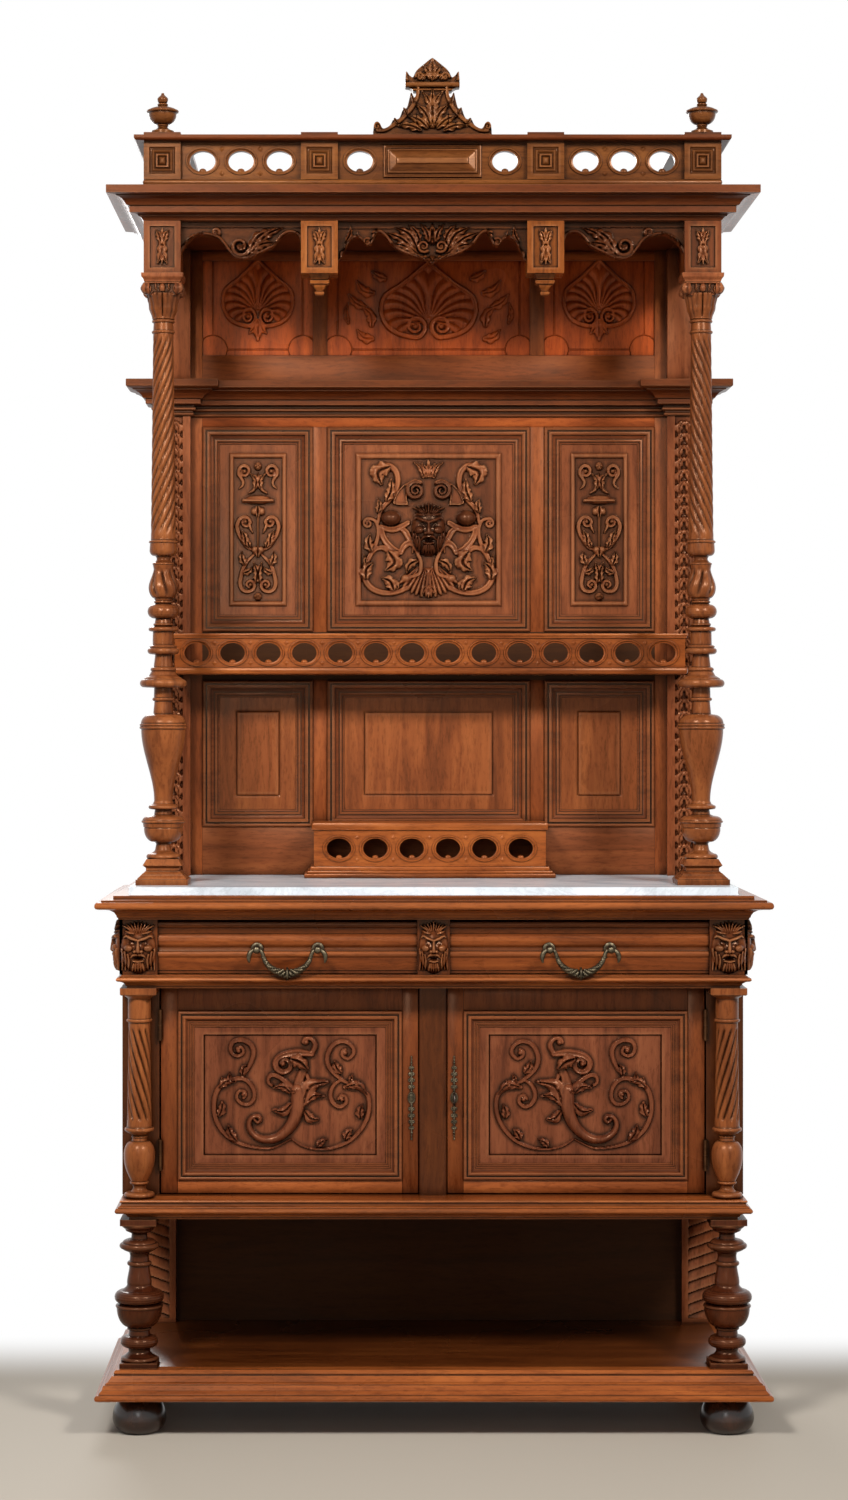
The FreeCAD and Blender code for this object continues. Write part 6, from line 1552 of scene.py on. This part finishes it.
def makeRuns():
    rear = cadBox[1][1] * 1000
    for node, look in runLook.items():
        x, y, level = look["half"] - look["reach"], look["front"] + look["reach"], look["level"]
        corners = [((-x, y), (-1, -1)), ((x, y), (1, -1))]
        front, flanks, boards = bmesh.new(), bmesh.new(), bmesh.new()
        addRun(front, look["profile"], corners, level)
        addRun(flanks, look["profile"], [((-x, rear), (-1, 0)), corners[0]], level)
        addRun(flanks, look["profile"], [corners[1], ((x, rear), (1, 0))], level)
        for board in look["boards"]:
            addBoard(boards, *board, 0.6)
        finishPiece(look["name"] + "Front", front, look["finish"], [node], sharp=24)
        finishPiece(look["name"] + "Sides", flanks, walnutY, [node], sharp=24)
        if look["boards"]:
            finishPiece(look["name"] + "Boards", boards, walnutShadedShelf, [node])


def makeMidCornice():
    # It breaks forward over the pilasters
    look, bm, rear = midRun, bmesh.new(), cadBox[1][1] * 1000
    outer, inner, wall, face = look["outer"], look["inner"], look["wall"], look["face"]
    half = [((-outer, rear), (-1, 0)), ((-outer, face), (-1, -1)), ((-inner, face), (1, -1)),
            ((-inner, wall), (1, -1))]
    addRun(bm, look["profile"], half + [((-x, y), (-dx, dy)) for (x, y), (dx, dy) in half[::-1]],
           look["level"])
    finishPiece("midCornice", bm, walnutShadedUpper, ["mid_cornice"], sharp=24)


panelFrame = {
    "profile": [(0, 0), (0, 8), (1.5, 11), (4, 12), (6.5, 11), (7, 9), (10, 9), (10.5, 12.5), (14, 13),
        (17, 11), (18, 7.5), (23, 5.5), (26, 5.5), (26.5, 7), (29, 7.5), (31, 6), (31.5, 3.5), (35, 3),
        (36, 0)],
    "face": 262, "rows": ((1153, 1458), (1558, 1984)), "bays": ((-470, -240), (-211, 211), (240, 470)),
}


def makePanelFrames():
    look, bm = panelFrame, bmesh.new()
    for low, high in look["rows"]:
        for left, right in look["bays"]:
            centre, outer = ((left + right) / 2, (low + high) / 2), (right - left, high - low)
            addMitredFrame(bm, centre, outer, look["profile"], look["face"])
    finishPiece("panelFrames", bm, walnutRun, ["panel_mouldings"], sharp=25)


doorFrame = {
    "profile": [(0, 0), (0, 9), (1.5, 12), (4, 13), (6, 12), (6.5, 10), (9, 10), (9.5, 14.5), (12, 16),
        (15, 15), (17, 11), (20, 9), (22, 9), (22.5, 7), (25, 7), (25.5, 5), (28, 5), (28.5, 3), (31, 3),
        (32, 0)],
    "centre": (277.75, 644.5), "outer": (436.5, 329), "face": -149, "opening": (59.5, 496, 480, 809),
}


def makeDoorMouldings():
    look = doorFrame
    for hand, side in sides:
        bm = bmesh.new()
        centre = (look["centre"][0] * hand, look["centre"][1])
        addMitredFrame(bm, centre, look["outer"], look["profile"], look["face"])
        finishPiece(f"{side}DoorMoulding", bm, walnutRun, [f"door_{side}_moulding"], f"door_{side}",
                    sharp=25)


def makeDoorFrames():
    left, right, low, high = doorFrame["opening"]
    for hand, side in sides:
        body, node = f"door_{side}", f"door_{side}_frame"
        stiles = bmesh.new()
        first, last = (corner * 1000 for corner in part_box(f"door_{side}_frame"))
        near, far = sorted((abs(first.x), abs(last.x)))
        depth = (first.y, last.y)
        for x in ((near, left), (right, far)):
            addBoard(stiles, sorted(hand * edge for edge in x), depth, (first.z, last.z))
        finishPiece(f"{side}DoorStiles", stiles, walnutStile, [node], body)
        # The foot rail is painted lighter as lit, the head rail darker as the painted shadow under the
        # drawer ledge
        for name, z, finish in (("Foot", (first.z, low), walnutPaintedLight),
                                ("Head", (high, last.z), walnutStile)):
            rail = bmesh.new()
            addBoard(rail, sorted((left * hand, right * hand)), depth, z)
            finishPiece(f"{side}Door{name}Rail", rail, finish, [node], body)


plainPanel = {
    "rows": (1153, 1458), "face": 262, "cell": 1.8, "depth": 10,
    "line": ([-4, -2.5, -1, 0, 1.6, 3], [2.2, 1.6, -1.4, -1.4, 0, 0]),
    "bays": ((-355, 111, 45, 88), (0, 207, 134, 87), (355, 111, 45, 88)),
}


def makePlainPanels():
    look, bm = plainPanel, bmesh.new()
    low, high = look["rows"]
    for centre, half, lineWide, lineTall in look["bays"]:
        field = startRelief(2 * half, high - low, look["cell"])
        gap = np.maximum(np.abs(field["x"]) - lineWide, np.abs(field["z"]) - lineTall)
        field["h"] = np.interp(gap, *look["line"])
        addInto(bm, finishRelief(field, look["depth"]), (centre, look["face"], (low + high) / 2))
    finishPiece("plainPanels", bm, walnutPlain, ["plain_back_panels"])


wallFrame = {
    "y": (256, 280), "z": (1053, 2350), "rail": (-470.3, 470.3), "lap": 0.3,
    "stiles": ((-562.5, -470), (470, 562.5)), "muntins": ((-240, -211), (211, 240)),
    "gaps": ((1153, 1458), (1558, 1984), (2133, 2330)),
    # Piece, finish, depth, height and rounding of each rail
    "rails": (("wallRails", walnutRail, (260, 280), (1458, 1558), 1.2),
              ("wallRails", walnutRail, (256, 280), (1984, 2040), 1.2),
              ("wallRails", walnutRail, (256, 280), (2330, 2350), 1.2),
              ("canopyRail", walnutCanopy, (256, 280), (2040, 2133), 1.2),
              ("wallFoot", walnutWall, (256, 280), (1053, 1153), 1.2),
              # The shelf wall's thin front board is painted shade behind the gallery holes
              ("shelfWall", walnutPaintedShade, (256, 260), (1458, 1558), 0.5)),
}


def makeWallFrame():
    look, uprights, rails = wallFrame, bmesh.new(), {}
    for x in look["stiles"]:
        addBoard(uprights, x, look["y"], look["z"])
    for low, high in look["gaps"]:
        for x in look["muntins"]:
            addBoard(uprights, x, look["y"], (low - look["lap"], high + look["lap"]))
    finishPiece("wallUprights", uprights, walnutUpright, ["upper_back_frame"])
    for name, finish, y, z, edge in look["rails"]:
        if name not in rails:
            rails[name] = (bmesh.new(), finish)
        addBoard(rails[name][0], look["rail"], y, z, edge)
    for name, (bm, finish) in rails.items():
        finishPiece(name, bm, finish, ["upper_back_frame"])


drawerFront = {
    "near": 32, "wide": 498,
    "profile": [(-200, 886), (-212, 886), (-213, 887), (-213, 892), (-215, 893), (-218, 911), (-219, 918),
        (-220, 919), (-221.5, 921), (-222, 924), (-221.5, 927), (-220, 929), (-216, 930), (-214.5, 933),
        (-214.5, 937), (-216, 939), (-218.5, 943), (-219.5, 950), (-218.5, 957), (-216, 962),
        (-214, 963.5), (-214, 974), (-216, 975), (-218, 977), (-219, 981), (-218, 985), (-216, 987),
        (-212, 988), (-211, 991), (-200, 991)],
}


def makeDrawerFronts():
    look = drawerFront
    for hand, side in sides:
        bm = bmesh.new()
        hollowLayer(bm)
        marked = shadedWornProfile(look["profile"], -1)
        chain = [markVert(bm, (look["near"] * hand, y, z), dark) for y, z, dark in marked]
        push = bmesh.ops.extrude_face_region(bm, geom=[bm.faces.new(chain)], use_keep_orig=True)["geom"]
        bmesh.ops.translate(bm, vec=(look["wide"] * hand, 0, 0), verts=vertsIn(push))
        finishPiece(f"{side}DrawerFront", bm, walnutDrawer, [f"drawer_{side}_front"], f"drawer_{side}",
                    sharp=30)


makeRuns()
makeMidCornice()
makePanelFrames()
makeDoorMouldings()
makeDoorFrames()
makePlainPanels()
makeWallFrame()
makeDrawerFronts()
print("mouldings run")


# Brass

def sweep(points, radii, facets=14):
    curve = bpy.data.curves.new("sweep", "CURVE")
    curve.dimensions = "3D"
    curve.bevel_depth = 1.0
    curve.bevel_resolution = facets // 4
    curve.use_fill_caps = True
    line = curve.splines.new("POLY")
    path = smoothPath([point + (radius,) for point, radius in zip(points, radii)], 6)
    line.points.add(len(path) - 1)
    for point, (x, y, z, radius) in zip(line.points, path):
        point.co = (x, y, z, 1)
        point.radius = radius
    holder = bpy.data.objects.new("sweep", curve)
    mesh = bpy.data.meshes.new_from_object(holder)
    bm = bmesh.new()
    bm.from_mesh(mesh)
    bpy.data.objects.remove(holder)
    bpy.data.curves.remove(curve)
    bpy.data.meshes.remove(mesh)
    return bm


handleLook = {
    "centre": 281, "axis": (-252, 935), "post": 58.5,
    "swan": [(58.5, 0, 0), (51, 0, -2), (47, 0, -8), (45, 0, -15)], "swanRadii": [3.2, 3.6, 3.8, 3.8],
    "tail": [(58.5, 0, 0), (66, 0, -1.5), (72, 0, -8), (73.5, 0, -17), (72, 0, -25)],
    "tailRadii": [3.2, 4.0, 5.0, 4.0, 1.4],
    "garland": [(45, 0, -14), (41, 0, -24), (31, 0, -35), (18, 0, -43), (0, 0, -46)],
    "garlandRadii": [3.6, 5.0, 6.2, 7.0, 7.2],
    "head": [("line", 0, 11), ("bead", 3, 10), ("cove", 8, 5), ("line", 14, 5), ("bead", 3, 5),
        ("line", 1, 4), ("swell", 6, 7.5), ("shoulder", 7, 1)],
    "headFoot": -218, "rings": ((45, -15, 5.4), (42.5, -21, 5.2)), "hoop": (10.5, 5),
}


def addPearls(bm, x, y, z, s):
    # Nine rings of six pearls from the rings to the middle of the bail
    for k in range(9):
        t = k / 8
        u, w, reach = 38 - 34 * t, -29 - 16.5 * math.sin(t * pi / 2), 5.2 + 2.8 * t
        for step in range(6):
            turn = step * pi / 3 + k * 0.5
            pearl = bmesh.new()
            bmesh.ops.create_icosphere(pearl, subdivisions=2, radius=3.5)
            addInto(bm, pearl, (x + s * (u + 0.5 * reach * math.cos(turn)), y + reach * math.sin(turn),
                                z + w + 0.8 * reach * math.cos(turn)))


def makeHandles():
    look = handleLook
    y, z = look["axis"]
    for hand, side in sides:
        x = look["centre"] * hand
        posts, bail = bmesh.new(), bmesh.new()
        for s in (-1, 1):
            head = turnOnLathe(look["head"], 28)
            turnAbout(head, "X")
            addInto(posts, head, (x + s * look["post"], look["headFoot"], z))
            for key in ("swan", "tail", "garland"):
                line = [(x + s * u, y + v, z + w) for u, v, w in look[key]]
                addInto(bail, sweep(line, look[key + "Radii"]))
            for u, w, radius in look["rings"]:
                ring = turnOnLathe([("line", 0, radius - 1), ("bead", 2.4, radius - 1)], 20)
                addInto(bail, ring, (x + s * u, y, z + w - 1.2))
            addPearls(bail, x, y, z, s)
        radius, width = look["hoop"]
        hoop = turnOnLathe([("line", 0, radius), ("bead", width, radius)], 28)
        turnAbout(hoop, "Y")
        addInto(bail, hoop, (x - 2, y, z - 46))
        finishPiece(f"{side}HandlePosts", posts, brass, [f"drawer_{side}_handle_posts"], f"drawer_{side}")
        finishPiece(f"{side}Bail", bail, brass, [f"drawer_{side}_bail"], f"bail_{side}",
                    sharp=60)


escutcheonLook = {
    "centre": (41.5, 640), "face": -156.5, "curls": ((58, 4.2), (46, 5), (34, 5.6), (21, 5.2)),
    "beads": ((80, 2.0), (74, 1.6), (68, 2.4), (52, 2.0), (40, 2.2), (27.5, 2.2), (14, 2.4)),
}


def makeEscutcheons():
    # Lacy mounts: a spine with paired curls and beads, and a pierced oval about the keyhole
    look = escutcheonLook
    oval = [(6.2 * math.cos(k * pi / 12), 10 * math.sin(k * pi / 12)) for k in range(25)]
    for hand, side in sides:
        bm = bmesh.new()
        x, y, z = look["centre"][0] * hand, look["face"] - 1.2, look["centre"][1]
        for end in (-1, 1):
            addInto(bm, sweep([(x, y, z + end * level) for level in (9, 40, 81)], [1.5, 1.4, 1.0]))
            for level, radius in look["curls"]:
                path = [(0, -radius)] + volute(radius * 0.55, 0, radius * 0.62, 180, -1.3, 0.3)
                for s in (-1, 1):
                    line = [(x + s * u, y, z + end * (level + w)) for u, w in path]
                    addInto(bm, sweep(line, [1.1] * len(path), 8))
            for level, radius in look["beads"]:
                bead = bmesh.new()
                bmesh.ops.create_icosphere(bead, subdivisions=2, radius=radius)
                addInto(bm, bead, (x, y, z + end * level))
        addInto(bm, sweep([(x + u, y, z + w) for u, w in oval], [1.3] * len(oval), 8))
        shield = turnOnLathe([("line", 0, 6), ("line", 1.0, 6), ("swell", 0.8, 3)], 32)
        bmesh.ops.scale(shield, vec=(1, 1.55, 1), verts=shield.verts[:])
        turnAbout(shield, "X")
        addInto(bm, shield, (x, look["face"], z))
        finishPiece(f"{side}Escutcheon", bm, brass, [f"door_{side}_escutcheon"], f"door_{side}",
                    sharp=60)


makeHandles()
makeEscutcheons()
print("brass fitted")


# Camera, floor and light

studio = {
    "eye": (-0.128, -6.18, 1.375), "lens": 74.3, "sensor": 36, "shift": (0.038, -0.02),
    "floorTone": (0.50, 0.44, 0.36, 1), "floorHalf": 9, "fadeBehind": (0.25, 0.75),
    "fadeAround": (1.3, 2.6), "skyTone": (1.0, 0.99, 0.97, 1), "skyLevel": 0.04, "spread": 2.0,
    "aim": (0, 0, 0.7),
    "lamps": (("leftLamp", (-1.5, -3.3, 3.45), 0.7, 58), ("rightLamp", (2.0, -3.3, 3.45), 0.7, 54),
        ("sheenLamp", (-0.75, -6.0, 2.25), 0.9, 9), ("backLamp", (-0.9, 4.2, 3.0), 1.4, 22)),
}


def putInScene(name, data, location=(0, 0, 0), turn=(0, 0, 0)):
    item = bpy.data.objects.new(name, data)
    item.location = location
    item.rotation_euler = turn
    scene.collection.objects.link(item)
    return item


def setCamera():
    camera = bpy.data.cameras.new("photoCamera")
    camera.lens = studio["lens"]
    camera.sensor_width = studio["sensor"]
    camera.shift_x, camera.shift_y = studio["shift"]
    scene.camera = putInScene("photoCamera", camera, studio["eye"], (pi / 2, 0, 0))


def addLamp(name, spot, size, power):
    lamp = bpy.data.lights.new(name, "AREA")
    lamp.energy = power
    lamp.size = size
    lamp.spread = studio["spread"]
    aim = Vector(studio["aim"]) - Vector(spot)
    putInScene(name, lamp, spot, aim.to_track_quat("-Z", "Y").to_euler())


def maths(tree, operation, first, second):
    return addNode(tree, "Math", {0: first, 1: second}, operation=operation).outputs["Value"]


def seenRays(tree):
    # Straight to the eye, mirrored or through glass: these see the white ground, and no lighting does
    rays = addNode(tree, "LightPath").outputs
    seen = maths(tree, "MAXIMUM", rays["Is Camera Ray"], rays["Is Glossy Ray"])
    return maths(tree, "MAXIMUM", seen, rays["Is Transmission Ray"])


def mixShaders(tree, factor, first, second, end):
    blend = addNode(tree, "MixShader", {0: factor, 1: first, 2: second})
    setInputs(tree, tree.nodes[end], {"Surface": blend.outputs["Shader"]})


def layFloor():
    bm = bmesh.new()
    bmesh.ops.create_grid(bm, x_segments=1, y_segments=1, size=studio["floorHalf"])
    mesh = bpy.data.meshes.new("floor")
    bm.to_mesh(mesh)
    bm.free()
    material, tree, shader = startMaterial("paleFloor")
    setInputs(tree, shader, {"Base Color": studio["floorTone"], "Roughness": 0.7})
    # Behind the sideboard and far from it the floor passes into the white ground
    spot = addNode(tree, "TexCoord").outputs["Object"]
    behind = addNode(tree, "SeparateXYZ", {0: spot}).outputs["Y"]
    around = addNode(tree, "VectorMath", {0: spot}, operation="LENGTH").outputs["Value"]
    fades = []
    for source, key in ((behind, "fadeBehind"), (around, "fadeAround")):
        values = {"Value": source, "From Min": studio[key][0], "From Max": studio[key][1]}
        fades.append(addNode(tree, "MapRange", values, interpolation_type="SMOOTHSTEP").outputs["Result"])
    away = maths(tree, "MULTIPLY", maths(tree, "MAXIMUM", *fades), seenRays(tree))
    white = addNode(tree, "Emission", {"Strength": 1.0}).outputs["Emission"]
    mixShaders(tree, away, shader.outputs["BSDF"], white, "Material Output")
    mesh.materials.append(material)
    floor = putInScene("floor", mesh)


def setSky():
    world = bpy.data.worlds.new("studioSky")
    scene.world = world
    world.use_nodes = True
    tree = world.node_tree
    sky = tree.nodes["Background"]
    setInputs(tree, sky, {"Color": studio["skyTone"], "Strength": studio["skyLevel"]})
    white = addNode(tree, "Background", {"Color": (1, 1, 1, 1), "Strength": 1.0})
    mixShaders(tree, seenRays(tree), sky.outputs["Background"], white.outputs["Background"], "World Output")


setCamera()
layFloor()
setSky()
for lampLook in studio["lamps"]:
    addLamp(*lampLook)
scene.view_settings.view_transform = "Standard"
print("studio set")
